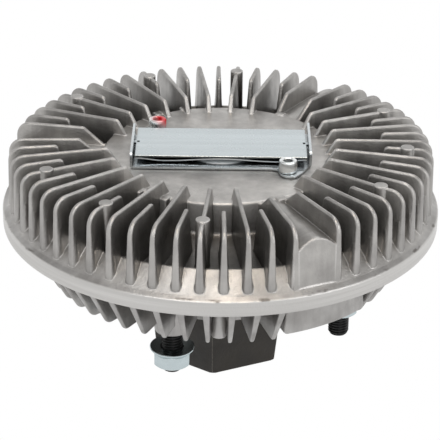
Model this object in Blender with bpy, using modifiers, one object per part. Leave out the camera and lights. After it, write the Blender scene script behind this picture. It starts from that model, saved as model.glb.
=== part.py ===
"""Viscous fan clutch with a bimetal control strip, standing on its input hub, fins up.

The origin is on the shaft's axis at the foot of the hub, +Z points to the finned front,
and the side that faces -Y is the one with the lower bracket screw. Lengths are in metres.
"""

import math

import bmesh
import bpy
from mathutils import Matrix

MM = 0.001

# Gaps between pieces
SEAT_GAP = 0.3 * MM
RUNNING_GAP = 1.2 * MM

# Turned pieces are cut in facets that line up with the sixty fins of the cover
RIM_STEPS = 60
CORE_STEPS = 24
PLATE_STEPS = 20
BORE_SIDES = 8
BOSS_SIDES = 12

# Input hub
HEX_H = 33.4 * MM
HEX_CORNER_R = 35.6 * MM
HEX_DRAFT = 0.115
HEX_TURN = -95.0
HEX_CHAMFER = 1.6 * MM
HUB_COLLAR_R = 21.5 * MM
HUB_BORE_R = 14.0 * MM
HUB_BORE_DEPTH = 27.0 * MM
HUB_BORE_LEAD = 2.0 * MM
SHAFT_NOSE_R = 15.0 * MM
SHAFT_NOSE_PROUD = 1.2 * MM
SHAFT_NOSE_LEAD = 1.0 * MM

# Ball bearing
BEARING_BORE_R = 17.5 * MM
BEARING_R = 36.0 * MM
BEARING_W = 17.0 * MM
BEARING_LEAD = 0.8 * MM
INNER_LAND_R = 23.2 * MM
OUTER_LAND_R = 30.4 * MM
BALL_COUNT = 9
BALL_R = 5.5 * MM
BALL_GAP = 0.3 * MM
CAGE_T = 2.2 * MM
CAGE_RIM = 1.1 * MM
SHIELD_T = 0.6 * MM
SHIELD_INSET = 0.4 * MM
SNAP_RING_T = 1.2 * MM
SNAP_RING_W = 2.9 * MM
SNAP_GROOVE_DEPTH = 1.3 * MM

# Rear body
RIM_R = 112.0 * MM
RIM_WALL = 1.2 * MM
RIM_LIP_T = 1.5 * MM
RIM_LIP_REACH = 2.3 * MM
RIM_LIP_RISE = 1.0 * MM
RIM_LEDGE_T = 2.3 * MM
WEB_T = 5.0 * MM
WEB_RIM_INSET = 12.0 * MM
WEB_OVERLAP = 2.0 * MM
WEB_MID_R = 60.0 * MM
WEB_MID_DROP = 3.0 * MM
WEB_HUB_DROP = 2.8 * MM
BOSS_R = 42.0 * MM
BOSS_LIP = 2.6 * MM
BOSS_SHOULDER_R = 32.0 * MM
BOSS_LEAD = 1.0 * MM
PILOT_H = 6.9 * MM
REAR_FIN_COUNT = 51
REAR_FIN_START = -3.5
REAR_FIN_H = 28.3 * MM
REAR_FIN_INNER_R = 46.0 * MM
REAR_FIN_INNER_RUN = 9.0 * MM
REAR_FIN_TIP_INSET = 22.4 * MM
REAR_FIN_TIP_ROUND = 4.0 * MM
REAR_FIN_TIP_END = -25.0
REAR_FIN_FOOT_INSET = 8.0 * MM
REAR_FIN_TIP_T = 1.8 * MM
REAR_FIN_FOOT_T = 4.0 * MM
REAR_PAD_COUNT = 3
REAR_PAD_START = 20.1
REAR_PAD_SPAN = 31.0
REAR_PAD_INNER_INSET = 38.0 * MM
REAR_PAD_OUTER_INSET = 19.4 * MM
REAR_PAD_H = 23.3 * MM
REAR_POST_COUNT = 3
REAR_POST_R = 3.8 * MM
REAR_POST_ROOT_R = 4.6 * MM
REAR_POST_INSET = 28.0 * MM
REAR_POST_H = 25.5 * MM

# Fan studs and nuts
STUD_COUNT = 4
STUD_START = -20.5
STUD_PLACE_R = 66.3 * MM
STUD_R = 5.3 * MM
STUD_LEAD = 1.0 * MM
STUD_PROUD = 22.5 * MM
STUD_DEPTH = 15.0 * MM
STUD_BOSS_R = 8.8 * MM
STUD_BOSS_DRAFT_R = 1.2 * MM
NUT_H = 9.8 * MM
NUT_ACROSS_FLATS = 17.5 * MM
NUT_TURN = 30.0
NUT_FLANGE_R = 11.2 * MM
NUT_FLANGE_T = 1.6 * MM
NUT_CONE_H = 1.6 * MM
NUT_BACK_OFF = 9.5 * MM
STUD_SIDES = 8

# Clutch plate
PLATE_INSET = 13.0 * MM
PLATE_T = 3.0 * MM
PLATE_BOSS_R = 22.0 * MM
PLATE_BOSS_H = 26.0 * MM
PLATE_BACK_GAP = 1.0 * MM
RIDGE_COUNT = 2
RIDGE_H = 6.4 * MM
RIDGE_T = 2.6 * MM
RIDGE_PITCH_SHARE = 0.306
RIDGE_START_SHARE = 0.282
RIDGE_END_GAP = 0.9 * MM
LOCK_RING_R = 20.5 * MM
LOCK_RING_T = 2.4 * MM

# Front cover
COVER_WALL = 4.0 * MM
COVER_FLANGE_T = 3.7 * MM
COVER_FLANGE_W = 6.2 * MM
SKIRT_RISE = 1.3 * MM
SHOULDER_INSET = 10.6 * MM
DISC_R = 61.0 * MM
DISC_DRAFT_R = 0.6 * MM
SEAL_R = 0.9 * MM
SEAL_GAP = 0.2 * MM
SEAL_CHAMFER = 3.2 * MM
RESERVOIR_R = 53.5 * MM
RESERVOIR_H = 14.1 * MM
SEPARATOR_R = 56.5 * MM
SEPARATOR_T = 1.5 * MM
SEPARATOR_PROUD = 0.6 * MM
PIN_BOSS_R = 8.0 * MM
PIN_BOSS_H = 7.8 * MM
PIN_SEAL_R = 0.9 * MM
PIN_SEAL_SETBACK = 4.0 * MM

# Cover fins
FIN_COUNT = 60
FIN_START = 1.08
FIN_RISE = 8.0 * MM
FIN_FALL = 0.8 * MM
FIN_TIP_T = 2.1 * MM
FIN_FOOT_T = 4.4 * MM
FIN_OUTER_INSET = 4.0 * MM
FIN_ROUND = 7.5 * MM
FIN_FOOT_INSET = 0.7 * MM
LONG_FIN_TOP_R = 58.5 * MM
LONG_FIN_FOOT_R = 53.8 * MM
SHORT_FIN_TOP_INSET = 28.8 * MM
SHORT_FIN_FOOT_INSET = 34.5 * MM
HUMP_FIN_TOP_R = 72.8 * MM
HUMP_FIN_FOOT_R = 62.0 * MM
FIN_PAD_R = 3.4 * MM
FIN_PAD_INSET = 17.5 * MM
FIN_PAD_PROUD = 0.2 * MM
FIN_PAD_SIDES = 8
FIN_PAD_STRIDE = 5
HUMP_COUNT = 3
HUMP_SLOT = 4
HUMP_ARCH_HALF_W = 11.5 * MM
HUMP_OVERLAP = 1.0 * MM
HUMP_INNER_R = 57.0 * MM
HUMP_FACE_INSET = 4.6 * MM
HUMP_FACE_DRAFT = 0.05
HUMP_SIDE_DROP = 5.8 * MM
HUMP_INNER_DROP = 0.5 * MM
HUMP_PEAK_PROUD = 0.4 * MM
RETURN_BORE_R = 2.0 * MM
RETURN_BORE_RISE = 4.5 * MM
RETURN_PORT_INSET = 16.0 * MM

# Valve
PIN_R = 2.0 * MM
PORT_PLACE = 18.0 * MM
PORT_R = 3.0 * MM
ARM_PIVOT = 30.0 * MM
ARM_END = 24.0 * MM
ARM_TAIL = 4.5 * MM
ARM_W = 9.0 * MM
ARM_T = 0.8 * MM
RIVET_R = 1.5 * MM
RIVET_HEAD_R = 3.0 * MM
RIVET_HEAD_T = 0.8 * MM
PLATE_SCREW_COUNT = 3
PLATE_SCREW_PLACE_R = 46.0 * MM
PLATE_SCREW_R = 1.5 * MM
PLATE_SCREW_HEAD_R = 2.9 * MM
PLATE_SCREW_HEAD_H = 1.6 * MM
PLATE_SCREW_L = 9.0 * MM
PLATE_SCREW_BOSS_R = 4.5 * MM

# Bracket, bimetal strip and its backing leaf
BRACKET_T = 1.2 * MM
BRACKET_HALF_L = 45.6 * MM
BRACKET_HALF_W = 21.7 * MM
BRACKET_BEND_R = 1.8 * MM
END_WALL_H = 8.4 * MM
END_WALL_CUT = 4.0 * MM
EAR_R = 6.0 * MM
EAR_X = 33.4 * MM
EAR_Y = 25.4 * MM
EAR_ARC_END = 325.0
BRACKET_PIN_HOLE_R = 3.0 * MM
BRACKET_SCREW_R = 2.5 * MM
BRACKET_SCREW_HEAD_R = 4.6 * MM
BRACKET_SCREW_HEAD_H = 6.0 * MM
BRACKET_SCREW_L = 9.0 * MM
BRACKET_SCREW_SOCKET_R = 2.4 * MM
BRACKET_SCREW_SOCKET_DEPTH = 3.0 * MM
BRACKET_BOSS_R = 5.5 * MM
BRACKET_BOSS_H = 8.0 * MM
STRIP_L = 86.4 * MM
STRIP_W = 35.4 * MM
STRIP_T = 1.0 * MM
STRIP_RISE = 3.3 * MM
TONGUE_L = 1.9 * MM
TONGUE_W = 3.0 * MM
LEAF_T = 0.6 * MM
LEAF_W = 34.6 * MM
LEAF_L = 86.0 * MM
LEAF_DIP = 1.2 * MM
LEAF_VALLEY = 28.5 * MM

# Heights, stacked up from the floor that the hub stands on
BOSS_BOTTOM_Z = HEX_H + RUNNING_GAP
SNAP_RING_Z = BOSS_BOTTOM_Z + BOSS_LIP
BEARING_Z = SNAP_RING_Z + SNAP_RING_T + SEAT_GAP
BEARING_TOP_Z = BEARING_Z + BEARING_W
PLATE_BOSS_Z = BEARING_TOP_Z + SEAT_GAP
PLATE_TOP_Z = PLATE_BOSS_Z + PLATE_BOSS_H
PLATE_BACK_Z = PLATE_TOP_Z - PLATE_T
LEDGE_Z = PLATE_BACK_Z - PLATE_BACK_GAP
RIM_BOTTOM_Z = LEDGE_Z - RIM_LEDGE_T
COVER_FLANGE_Z = LEDGE_Z + SEAT_GAP
COVER_FLANGE_TOP_Z = COVER_FLANGE_Z + COVER_FLANGE_T
LIP_Z = COVER_FLANGE_TOP_Z + SEAT_GAP
RIM_TOP_Z = LIP_Z + RIM_LIP_T
CEILING_Z = PLATE_TOP_Z + RIDGE_H + RIDGE_END_GAP
FLOOR_Z = CEILING_Z + COVER_WALL
SEPARATOR_Z = CEILING_Z + SEPARATOR_PROUD
SEPARATOR_TOP_Z = SEPARATOR_Z + SEPARATOR_T
RESERVOIR_Z = SEPARATOR_TOP_Z + SEAT_GAP
RESERVOIR_TOP_Z = RESERVOIR_Z + RESERVOIR_H
FACE_Z = RESERVOIR_TOP_Z + COVER_WALL
FIN_TOP_Z = FACE_Z + FIN_RISE
FAN_SEAT_Z = BOSS_BOTTOM_Z + PILOT_H
REAR_FIN_TIP_Z = RIM_BOTTOM_Z - REAR_FIN_H
ARM_Z = SEPARATOR_TOP_Z + SEAT_GAP
BRACKET_Z = FACE_Z + SEAT_GAP
BRACKET_TOP_Z = BRACKET_Z + BRACKET_T
STRIP_Z = BRACKET_TOP_Z + STRIP_RISE
LEAF_TOP_Z = STRIP_Z - SEAT_GAP

# Radii that follow from the rim
WEB_RIM_R = RIM_R - WEB_RIM_INSET
REAR_FIN_TIP_R = RIM_R - REAR_FIN_TIP_INSET
REAR_FIN_FOOT_R = RIM_R - REAR_FIN_FOOT_INSET
REAR_PAD_INNER_R = RIM_R - REAR_PAD_INNER_INSET
REAR_PAD_OUTER_R = RIM_R - REAR_PAD_OUTER_INSET
REAR_POST_PLACE_R = RIM_R - REAR_POST_INSET
PLATE_R = RIM_R - PLATE_INSET
RIDGE_START_R = SEPARATOR_R + RIDGE_START_SHARE * (PLATE_R - SEPARATOR_R)
RIDGE_PITCH = RIDGE_PITCH_SHARE * (PLATE_R - SEPARATOR_R)
SHOULDER_R = RIM_R - SHOULDER_INSET
FIN_OUTER_R = RIM_R - FIN_OUTER_INSET
SHORT_FIN_TOP_R = RIM_R - SHORT_FIN_TOP_INSET
SHORT_FIN_FOOT_R = RIM_R - SHORT_FIN_FOOT_INSET
FIN_PAD_PLACE_R = RIM_R - FIN_PAD_INSET
HUMP_FACE_R = RIM_R - HUMP_FACE_INSET
RETURN_PORT_R = RIM_R - RETURN_PORT_INSET

# Radii that follow from their neighbours
BALL_PLACE_R = (INNER_LAND_R + OUTER_LAND_R) / 2
BALL_GROOVE_R = BALL_R + BALL_GAP
RIM_BORE_R = RIM_R - RIM_WALL
LIP_R = RIM_R - RIM_LIP_REACH
COVER_FLANGE_R = RIM_BORE_R - SEAT_GAP
SKIRT_R = LIP_R - SEAT_GAP
COVER_BORE_R = COVER_FLANGE_R - COVER_FLANGE_W
CHAMBER_TOP_R = PLATE_R + RUNNING_GAP
PIN_BORE_R = PIN_R + SEAT_GAP
PIN_SEAL_GROOVE_R = PIN_R + 2 * (PIN_SEAL_R + SEAL_GAP)
STUD_HOLE_R = STUD_R + SEAT_GAP
STEP_ANGLE = 360 / RIM_STEPS
FACET_TURN = FIN_START - STEP_ANGLE / 2
PIN_SEAL_HALF = PIN_SEAL_R + SEAL_GAP
PIN_SEAL_Z = RESERVOIR_TOP_Z - PIN_BOSS_H + PIN_SEAL_SETBACK
PIN_BOSS_Z = RESERVOIR_TOP_Z - PIN_BOSS_H


def clear_scene():
    for leftover in list(bpy.data.objects):
        bpy.data.objects.remove(leftover)


def new_collection(name):
    collection = bpy.data.collections.new(name)
    bpy.context.scene.collection.children.link(collection)
    return collection


def finish_colour(name, colour, roughness, metallic):
    """A Principled material in the finish of one piece."""
    material = bpy.data.materials.new(name)
    material.use_nodes = True
    shader = material.node_tree.nodes["Principled BSDF"]
    shader.inputs["Base Color"].default_value = (*colour, 1.0)
    shader.inputs["Roughness"].default_value = roughness
    shader.inputs["Metallic"].default_value = metallic
    return material


def on_circle(radius, angle):
    """X and Y at an angle in degrees, counted from -Y towards +X."""
    turn = math.radians(angle)
    return radius * math.sin(turn), -radius * math.cos(turn)


def arc(centre_x, centre_z, radius, start, end, steps):
    """Points on an arc, with angles in degrees from +X towards +Z."""
    points = []
    for step in range(steps + 1):
        turn = math.radians(start + (end - start) * step / steps)
        points.append((centre_x + radius * math.cos(turn), centre_z + radius * math.sin(turn)))
    return points


def add_object(name, mesh, collection):
    piece = bpy.data.objects.new(name, mesh)
    collection.objects.link(piece)
    if collection is cutters:
        piece.hide_render = True
        piece.display_type = "WIRE"
    return piece


def finished_mesh(name, shape):
    bmesh.ops.recalc_face_normals(shape, faces=shape.faces)
    mesh = bpy.data.meshes.new(name)
    shape.to_mesh(mesh)
    shape.free()
    return mesh


def turned(name, profile, steps, turn, collection):
    """A closed outline of radius and height, listed down its outer side, turned about Z."""
    mesh = bpy.data.meshes.new(name)
    start = math.radians(turn)
    corners = [(r * math.cos(start), r * math.sin(start), z) for r, z in profile]
    edges = [(i, (i + 1) % len(profile)) for i in range(len(profile))]
    mesh.from_pydata(corners, edges, [])
    piece = add_object(name, mesh, collection)
    screw = piece.modifiers.new("Turn", "SCREW")
    screw.axis = "Z"
    screw.steps = steps
    screw.render_steps = steps
    screw.use_merge_vertices = True
    screw.merge_threshold = 1e-6
    screw.use_smooth_shade = False
    return piece


def put_prism(shape, sides, low_r, high_r, low_z, high_z, x=0.0, y=0.0, turn=0.0):
    """Adds a capped prism or cone along Z, with its first corner at turn degrees."""
    made = bmesh.ops.create_cone(
        shape, cap_ends=True, segments=sides, radius1=low_r, radius2=high_r, depth=high_z - low_z
    )
    place = Matrix.Translation((x, y, (low_z + high_z) / 2))
    spin = Matrix.Rotation(math.radians(turn), 4, "Z")
    bmesh.ops.transform(shape, matrix=place @ spin, verts=made["verts"])


def prism(name, collection, *args, **kwargs):
    shape = bmesh.new()
    put_prism(shape, *args, **kwargs)
    return add_object(name, finished_mesh(name, shape), collection)


def put_plate(shape, outline, across):
    """Adds a flat outline in the XZ plane, thickened along Y by the width that across(z) gives."""
    near = [shape.verts.new((x, 0.0, z)) for x, z in outline]
    face = shape.faces.new(near)
    pulled = bmesh.ops.extrude_face_region(shape, geom=[face])["geom"]
    far = [item for item in pulled if isinstance(item, bmesh.types.BMVert)]
    for vert in near:
        vert.co.y = -across(vert.co.z) / 2
    for vert in far:
        vert.co.y = across(vert.co.z) / 2
    return near + far


def radial_plate(shape, outline, across, angle):
    """A plate that stands along the radius at an angle counted from -Y towards +X."""
    verts = put_plate(shape, outline, across)
    spin = Matrix.Rotation(math.radians(angle - 90), 4, "Z")
    bmesh.ops.transform(shape, matrix=spin, verts=verts)


def flat_slab(name, outline, low_z, high_z, collection):
    """A flat outline in XY, extruded from one height to another."""
    shape = bmesh.new()
    face = shape.faces.new([shape.verts.new((x, y, low_z)) for x, y in outline])
    pulled = bmesh.ops.extrude_face_region(shape, geom=[face])["geom"]
    lifted = [item for item in pulled if isinstance(item, bmesh.types.BMVert)]
    bmesh.ops.translate(shape, vec=(0, 0, high_z - low_z), verts=lifted)
    return add_object(name, finished_mesh(name, shape), collection)


def combine(piece, other, operation):
    step = piece.modifiers.new(other.name, "BOOLEAN")
    step.operation = operation
    step.object = other
    step.solver = "EXACT"
    return piece


def taper(tip_t, foot_t, tip_z, foot_z):
    """The width of a drafted fin at each height."""
    def across(z):
        share = (z - tip_z) / (foot_z - tip_z)
        return tip_t + (foot_t - tip_t) * min(max(share, 0.0), 1.0)
    return across


def ring_places(count, start, radius):
    """Angle, X and Y of each place in an even ring."""
    places = []
    for number in range(count):
        angle = start + 360 * number / count
        places.append((angle, *on_circle(radius, angle)))
    return places


def slot_angle(slot):
    return FIN_START + slot * 360 / FIN_COUNT


def stud_places():
    return ring_places(STUD_COUNT, STUD_START, STUD_PLACE_R)


def screw_places():
    """The two bracket screws stand opposite each other."""
    return [("front", EAR_X, -EAR_Y), ("rear", -EAR_X, EAR_Y)]


def plate_screw_places():
    return ring_places(PLATE_SCREW_COUNT, 90.0, PLATE_SCREW_PLACE_R)


def hump_slots():
    return [HUMP_SLOT + FIN_COUNT // HUMP_COUNT * number for number in range(HUMP_COUNT)]


def ridge_radii(offset):
    return [RIDGE_START_R + offset + RIDGE_PITCH * number for number in range(RIDGE_COUNT)]


def fin_outline(top_r, foot_r, foot_z):
    """A cover fin seen from its side, from its inner foot over the top to the skirt."""
    round_z = FIN_TOP_Z - FIN_FALL - FIN_ROUND
    corner = arc(FIN_OUTER_R - FIN_ROUND, round_z, FIN_ROUND, 90, 0, 2)
    skirt_foot = (SKIRT_R - FIN_FOOT_INSET, RIM_TOP_Z + SKIRT_RISE)
    root = (WEB_RIM_R, CEILING_Z + COVER_WALL / 2)
    return [(foot_r, foot_z), (top_r, FIN_TOP_Z), *corner, skirt_foot, root]


def cover_fins():
    shape = bmesh.new()
    across = taper(FIN_TIP_T, FIN_FOOT_T, FIN_TOP_Z, RIM_TOP_Z)
    face_sink = FACE_Z - COVER_WALL / 3
    floor_sink = FLOOR_Z - COVER_WALL / 3
    inside_r = DISC_R - COVER_WALL / 2
    below_disc = (inside_r, floor_sink)
    long_fin = fin_outline(LONG_FIN_TOP_R, LONG_FIN_FOOT_R, face_sink)
    long_fin += [below_disc, (inside_r, face_sink)]
    hump_fin = fin_outline(HUMP_FIN_TOP_R, HUMP_FIN_FOOT_R, FACE_Z)
    hump_fin += [below_disc, (inside_r, face_sink)]
    short_fin = fin_outline(SHORT_FIN_TOP_R, SHORT_FIN_FOOT_R, floor_sink)
    humps = hump_slots()
    for slot in range(FIN_COUNT):
        if slot in humps:
            continue
        beside_hump = slot - 1 in humps or slot + 1 in humps
        outline = short_fin if slot % 2 == 0 else long_fin
        if beside_hump:
            outline = hump_fin
        radial_plate(shape, outline, across, slot_angle(slot))
    return add_object("cover_fins", finished_mesh("cover_fins", shape), cutters)


def hump_section(share):
    """Radius and outline across a hump, at a share of its length, as wide as the fins allow."""
    radius = HUMP_INNER_R + (HUMP_FACE_R - HUMP_INNER_R) * share
    half_w = radius * math.tan(2 * math.pi / FIN_COUNT) + HUMP_OVERLAP
    rise = HUMP_SIDE_DROP - HUMP_INNER_DROP + (HUMP_INNER_DROP + HUMP_PEAK_PROUD) * share
    side_z = FACE_Z - HUMP_SIDE_DROP
    low_z = RIM_TOP_Z + SKIRT_RISE + SEAT_GAP
    arch = []
    steps = 6
    for step in range(steps + 1):
        y = half_w * (2 * step / steps - 1)
        arch.append((y, side_z + rise * math.cos(y / HUMP_ARCH_HALF_W * math.pi / 2)))
    return radius, [(-half_w, low_z), *arch, (half_w, low_z)]


def cover_humps():
    """Arched ridges over the passages that lead the fluid back to the reservoir."""
    shape = bmesh.new()
    side_z = FACE_Z - HUMP_SIDE_DROP
    sections = [hump_section(share) for share in (0.0, 0.5, 1.0)]
    for slot in hump_slots():
        rings = []
        for radius, outline in sections:
            rings.append([shape.verts.new((radius, y, z)) for y, z in outline])
        for vert in rings[-1]:
            vert.co.x += (side_z - vert.co.z) * HUMP_FACE_DRAFT
        shape.faces.new(rings[0])
        shape.faces.new(rings[-1])
        for near, far in zip(rings, rings[1:]):
            for here in range(len(near)):
                shape.faces.new((near[here - 1], near[here], far[here], far[here - 1]))
        spin = Matrix.Rotation(math.radians(slot_angle(slot) - 90), 4, "Z")
        bmesh.ops.transform(shape, matrix=spin, verts=sum(rings, []))
    return add_object("cover_humps", finished_mesh("cover_humps", shape), cutters)


def cover_fin_pads():
    """Round pads on every fifth fin, where the casting is pushed out of its mould."""
    shape = bmesh.new()
    top_z = FIN_TOP_Z + FIN_PAD_PROUD
    humps = hump_slots()
    for slot in range(FIN_PAD_STRIDE - 1, FIN_COUNT, FIN_PAD_STRIDE):
        if slot in humps:
            continue
        x, y = on_circle(FIN_PAD_PLACE_R, slot_angle(slot))
        low_z = FLOOR_Z - COVER_WALL / 2
        put_prism(shape, FIN_PAD_SIDES, FIN_PAD_R, FIN_PAD_R, low_z, top_z, x, y, FIN_START)
    return add_object("cover_fin_pads", finished_mesh("cover_fin_pads", shape), cutters)


def cover_inside():
    """The hollow of the cover: reservoir, seat of the separator plate, and ridges."""
    below_z = COVER_FLANGE_Z - COVER_WALL
    outline = [
        (RESERVOIR_R, RESERVOIR_TOP_Z),
        (RESERVOIR_R, RESERVOIR_Z),
        (SEPARATOR_R + SEAT_GAP, RESERVOIR_Z),
        (SEPARATOR_R + SEAT_GAP, CEILING_Z),
    ]
    for radius in ridge_radii(0.0):
        tip_z = CEILING_Z - RIDGE_H
        half = RIDGE_T / 2
        outline += [(radius - half, CEILING_Z), (radius - half, tip_z)]
        outline += [(radius + half, tip_z), (radius + half, CEILING_Z)]
    outline += [(CHAMBER_TOP_R, CEILING_Z), (COVER_BORE_R, RIM_TOP_Z)]
    outline += [(COVER_BORE_R, below_z), (0.0, below_z), (0.0, RESERVOIR_TOP_Z)]
    return turned("cover_inside", outline, PLATE_STEPS, FACET_TURN, cutters)


def pin_bore():
    """The bore that guides the pin, with a groove for its seal."""
    outline = [
        (PIN_BORE_R, FACE_Z + COVER_WALL),
        (PIN_BORE_R, PIN_SEAL_Z + PIN_SEAL_HALF),
        (PIN_SEAL_GROOVE_R, PIN_SEAL_Z + PIN_SEAL_HALF),
        (PIN_SEAL_GROOVE_R, PIN_SEAL_Z - PIN_SEAL_HALF),
        (PIN_BORE_R, PIN_SEAL_Z - PIN_SEAL_HALF),
        (PIN_BORE_R, PIN_BOSS_Z - COVER_WALL),
        (0.0, PIN_BOSS_Z - COVER_WALL),
        (0.0, FACE_Z + COVER_WALL),
    ]
    return turned("pin_bore", outline, BORE_SIDES, FACET_TURN, cutters)


def reservoir_bosses():
    """Bosses that hang in the reservoir, for the pin, the bracket screws and the separator screws."""
    shape = bmesh.new()
    top_z = RESERVOIR_TOP_Z + COVER_WALL / 2
    put_prism(shape, BORE_SIDES, PIN_BOSS_R, PIN_BOSS_R, PIN_BOSS_Z, top_z)
    for _, x, y in screw_places():
        low_z = RESERVOIR_TOP_Z - BRACKET_BOSS_H
        put_prism(shape, BORE_SIDES, BRACKET_BOSS_R, BRACKET_BOSS_R, low_z, top_z, x, y)
    for _, x, y in plate_screw_places():
        boss_r = PLATE_SCREW_BOSS_R
        put_prism(shape, BORE_SIDES, boss_r, boss_r, RESERVOIR_Z, top_z, x, y)
    return add_object("reservoir_bosses", finished_mesh("reservoir_bosses", shape), cutters)


def cover_holes():
    """Blind holes for the bracket screws and the separator screws."""
    shape = bmesh.new()
    bracket_r = BRACKET_SCREW_R + SEAT_GAP
    bracket_depth = BRACKET_SCREW_L + SEAT_GAP
    low_z = FACE_Z - bracket_depth
    high_z = FACE_Z + COVER_WALL
    for _, x, y in screw_places():
        put_prism(shape, BOSS_SIDES, bracket_r, bracket_r, low_z, high_z, x, y)
    plate_r = PLATE_SCREW_R + SEAT_GAP
    plate_top_z = SEPARATOR_TOP_Z + PLATE_SCREW_L
    for _, x, y in plate_screw_places():
        put_prism(shape, BORE_SIDES, plate_r, plate_r, SEPARATOR_Z, plate_top_z, x, y)
    return add_object("cover_holes", finished_mesh("cover_holes", shape), cutters)


def return_bores(name, outward):
    """The radial part of each return passage, or the port that opens down to the plate."""
    shape = bmesh.new()
    bore_z = FLOOR_Z + RETURN_BORE_RISE
    if outward:
        length = RETURN_PORT_R - RESERVOIR_R + 2 * RETURN_BORE_R
    else:
        length = bore_z - CEILING_Z + COVER_WALL
    for slot in hump_slots():
        spin = Matrix.Rotation(math.radians(slot_angle(slot) - 90), 4, "Z")
        made = bmesh.ops.create_cone(
            shape,
            cap_ends=True,
            segments=8,
            radius1=RETURN_BORE_R,
            radius2=RETURN_BORE_R,
            depth=length,
        )
        if outward:
            lay = Matrix.Rotation(math.radians(90), 4, "Y")
            place = Matrix.Translation(((RETURN_PORT_R + RESERVOIR_R) / 2, 0.0, bore_z))
        else:
            lay = Matrix.Rotation(math.radians(22.5), 4, "Z")
            place = Matrix.Translation((RETURN_PORT_R, 0.0, (bore_z + CEILING_Z - COVER_WALL) / 2))
        bmesh.ops.transform(shape, matrix=spin @ place @ lay, verts=made["verts"])
    return add_object(name, finished_mesh(name, shape), cutters)


def front_cover():
    flange_foot_r = COVER_FLANGE_R - SEAL_CHAMFER
    outline = [
        (DISC_R - DISC_DRAFT_R, FACE_Z),
        (DISC_R, FLOOR_Z),
        (SHOULDER_R, FLOOR_Z),
        (SKIRT_R, RIM_TOP_Z + SKIRT_RISE),
        (SKIRT_R, COVER_FLANGE_TOP_Z),
        (COVER_FLANGE_R, COVER_FLANGE_TOP_Z),
        (COVER_FLANGE_R, COVER_FLANGE_Z + SEAL_CHAMFER),
        (flange_foot_r, COVER_FLANGE_Z),
        (0.0, COVER_FLANGE_Z),
        (0.0, FACE_Z),
    ]
    cover = turned("front_cover", outline, RIM_STEPS, FACET_TURN, parts)
    combine(cover, cover_fins(), "UNION")
    combine(cover, cover_humps(), "UNION")
    combine(cover, cover_fin_pads(), "UNION")
    combine(cover, cover_inside(), "DIFFERENCE")
    combine(cover, reservoir_bosses(), "UNION")
    combine(cover, pin_bore(), "DIFFERENCE")
    combine(cover, cover_holes(), "DIFFERENCE")
    combine(cover, return_bores("return_bores", True), "DIFFERENCE")
    combine(cover, return_bores("return_ports", False), "DIFFERENCE")
    return cover


def rear_pads_angles():
    return [REAR_PAD_START + 360 * number / REAR_PAD_COUNT for number in range(REAR_PAD_COUNT)]


def under_rear_pad(angle):
    margin = 360 / REAR_FIN_COUNT / 4
    for start in rear_pads_angles():
        if (angle - start + margin) % 360 < REAR_PAD_SPAN + 2 * margin:
            return True
    return False


def rear_fins():
    shape = bmesh.new()
    root_z = RIM_BOTTOM_Z + RIM_LEDGE_T / 2
    across = taper(REAR_FIN_TIP_T, REAR_FIN_FOOT_T, REAR_FIN_TIP_Z, root_z)
    run_r = REAR_FIN_INNER_R + REAR_FIN_INNER_RUN
    tip_round = REAR_FIN_TIP_ROUND
    tip = arc(REAR_FIN_TIP_R - tip_round, REAR_FIN_TIP_Z + tip_round, tip_round, -90, REAR_FIN_TIP_END, 1)
    outline = [(REAR_FIN_INNER_R, root_z), (run_r, REAR_FIN_TIP_Z)]
    outline += [*tip, (REAR_FIN_FOOT_R, RIM_BOTTOM_Z), (REAR_FIN_FOOT_R, root_z)]
    for number in range(REAR_FIN_COUNT):
        angle = REAR_FIN_START + 360 * number / REAR_FIN_COUNT
        if not under_rear_pad(angle):
            radial_plate(shape, outline, across, angle)
    return add_object("rear_fins", finished_mesh("rear_fins", shape), cutters)


def rear_pads():
    """Smooth arc-shaped pads between the fins, left for machining to balance."""
    shape = bmesh.new()
    steps = 5
    for start in rear_pads_angles():
        angles = [start + REAR_PAD_SPAN * step / steps for step in range(steps + 1)]
        outer = [on_circle(REAR_PAD_OUTER_R, angle) for angle in angles]
        inner = [on_circle(REAR_PAD_INNER_R, angle) for angle in reversed(angles)]
        low_z = RIM_BOTTOM_Z - REAR_PAD_H
        face = shape.faces.new([shape.verts.new((x, y, low_z)) for x, y in outer + inner])
        pulled = bmesh.ops.extrude_face_region(shape, geom=[face])["geom"]
        lifted = [item for item in pulled if isinstance(item, bmesh.types.BMVert)]
        bmesh.ops.translate(shape, vec=(0, 0, RIM_BOTTOM_Z + RIM_LEDGE_T / 2 - low_z), verts=lifted)
    return add_object("rear_pads", finished_mesh("rear_pads", shape), cutters)


def rear_bosses():
    shape = bmesh.new()
    root_z = RIM_BOTTOM_Z - WEB_T / 2
    root_r = STUD_BOSS_R + STUD_BOSS_DRAFT_R
    for _, x, y in stud_places():
        put_prism(shape, BOSS_SIDES, STUD_BOSS_R, root_r, FAN_SEAT_Z, root_z, x, y)
    return add_object("rear_bosses", finished_mesh("rear_bosses", shape), cutters)


def rear_posts():
    shape = bmesh.new()
    start = REAR_FIN_START + 180 / REAR_FIN_COUNT
    for angle, x, y in ring_places(REAR_POST_COUNT, start, REAR_POST_PLACE_R):
        if not under_rear_pad(angle):
            low_z = RIM_BOTTOM_Z - REAR_POST_H
            put_prism(shape, 8, REAR_POST_R, REAR_POST_ROOT_R, low_z, RIM_BOTTOM_Z, x, y)
    return add_object("rear_posts", finished_mesh("rear_posts", shape), cutters)


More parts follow.
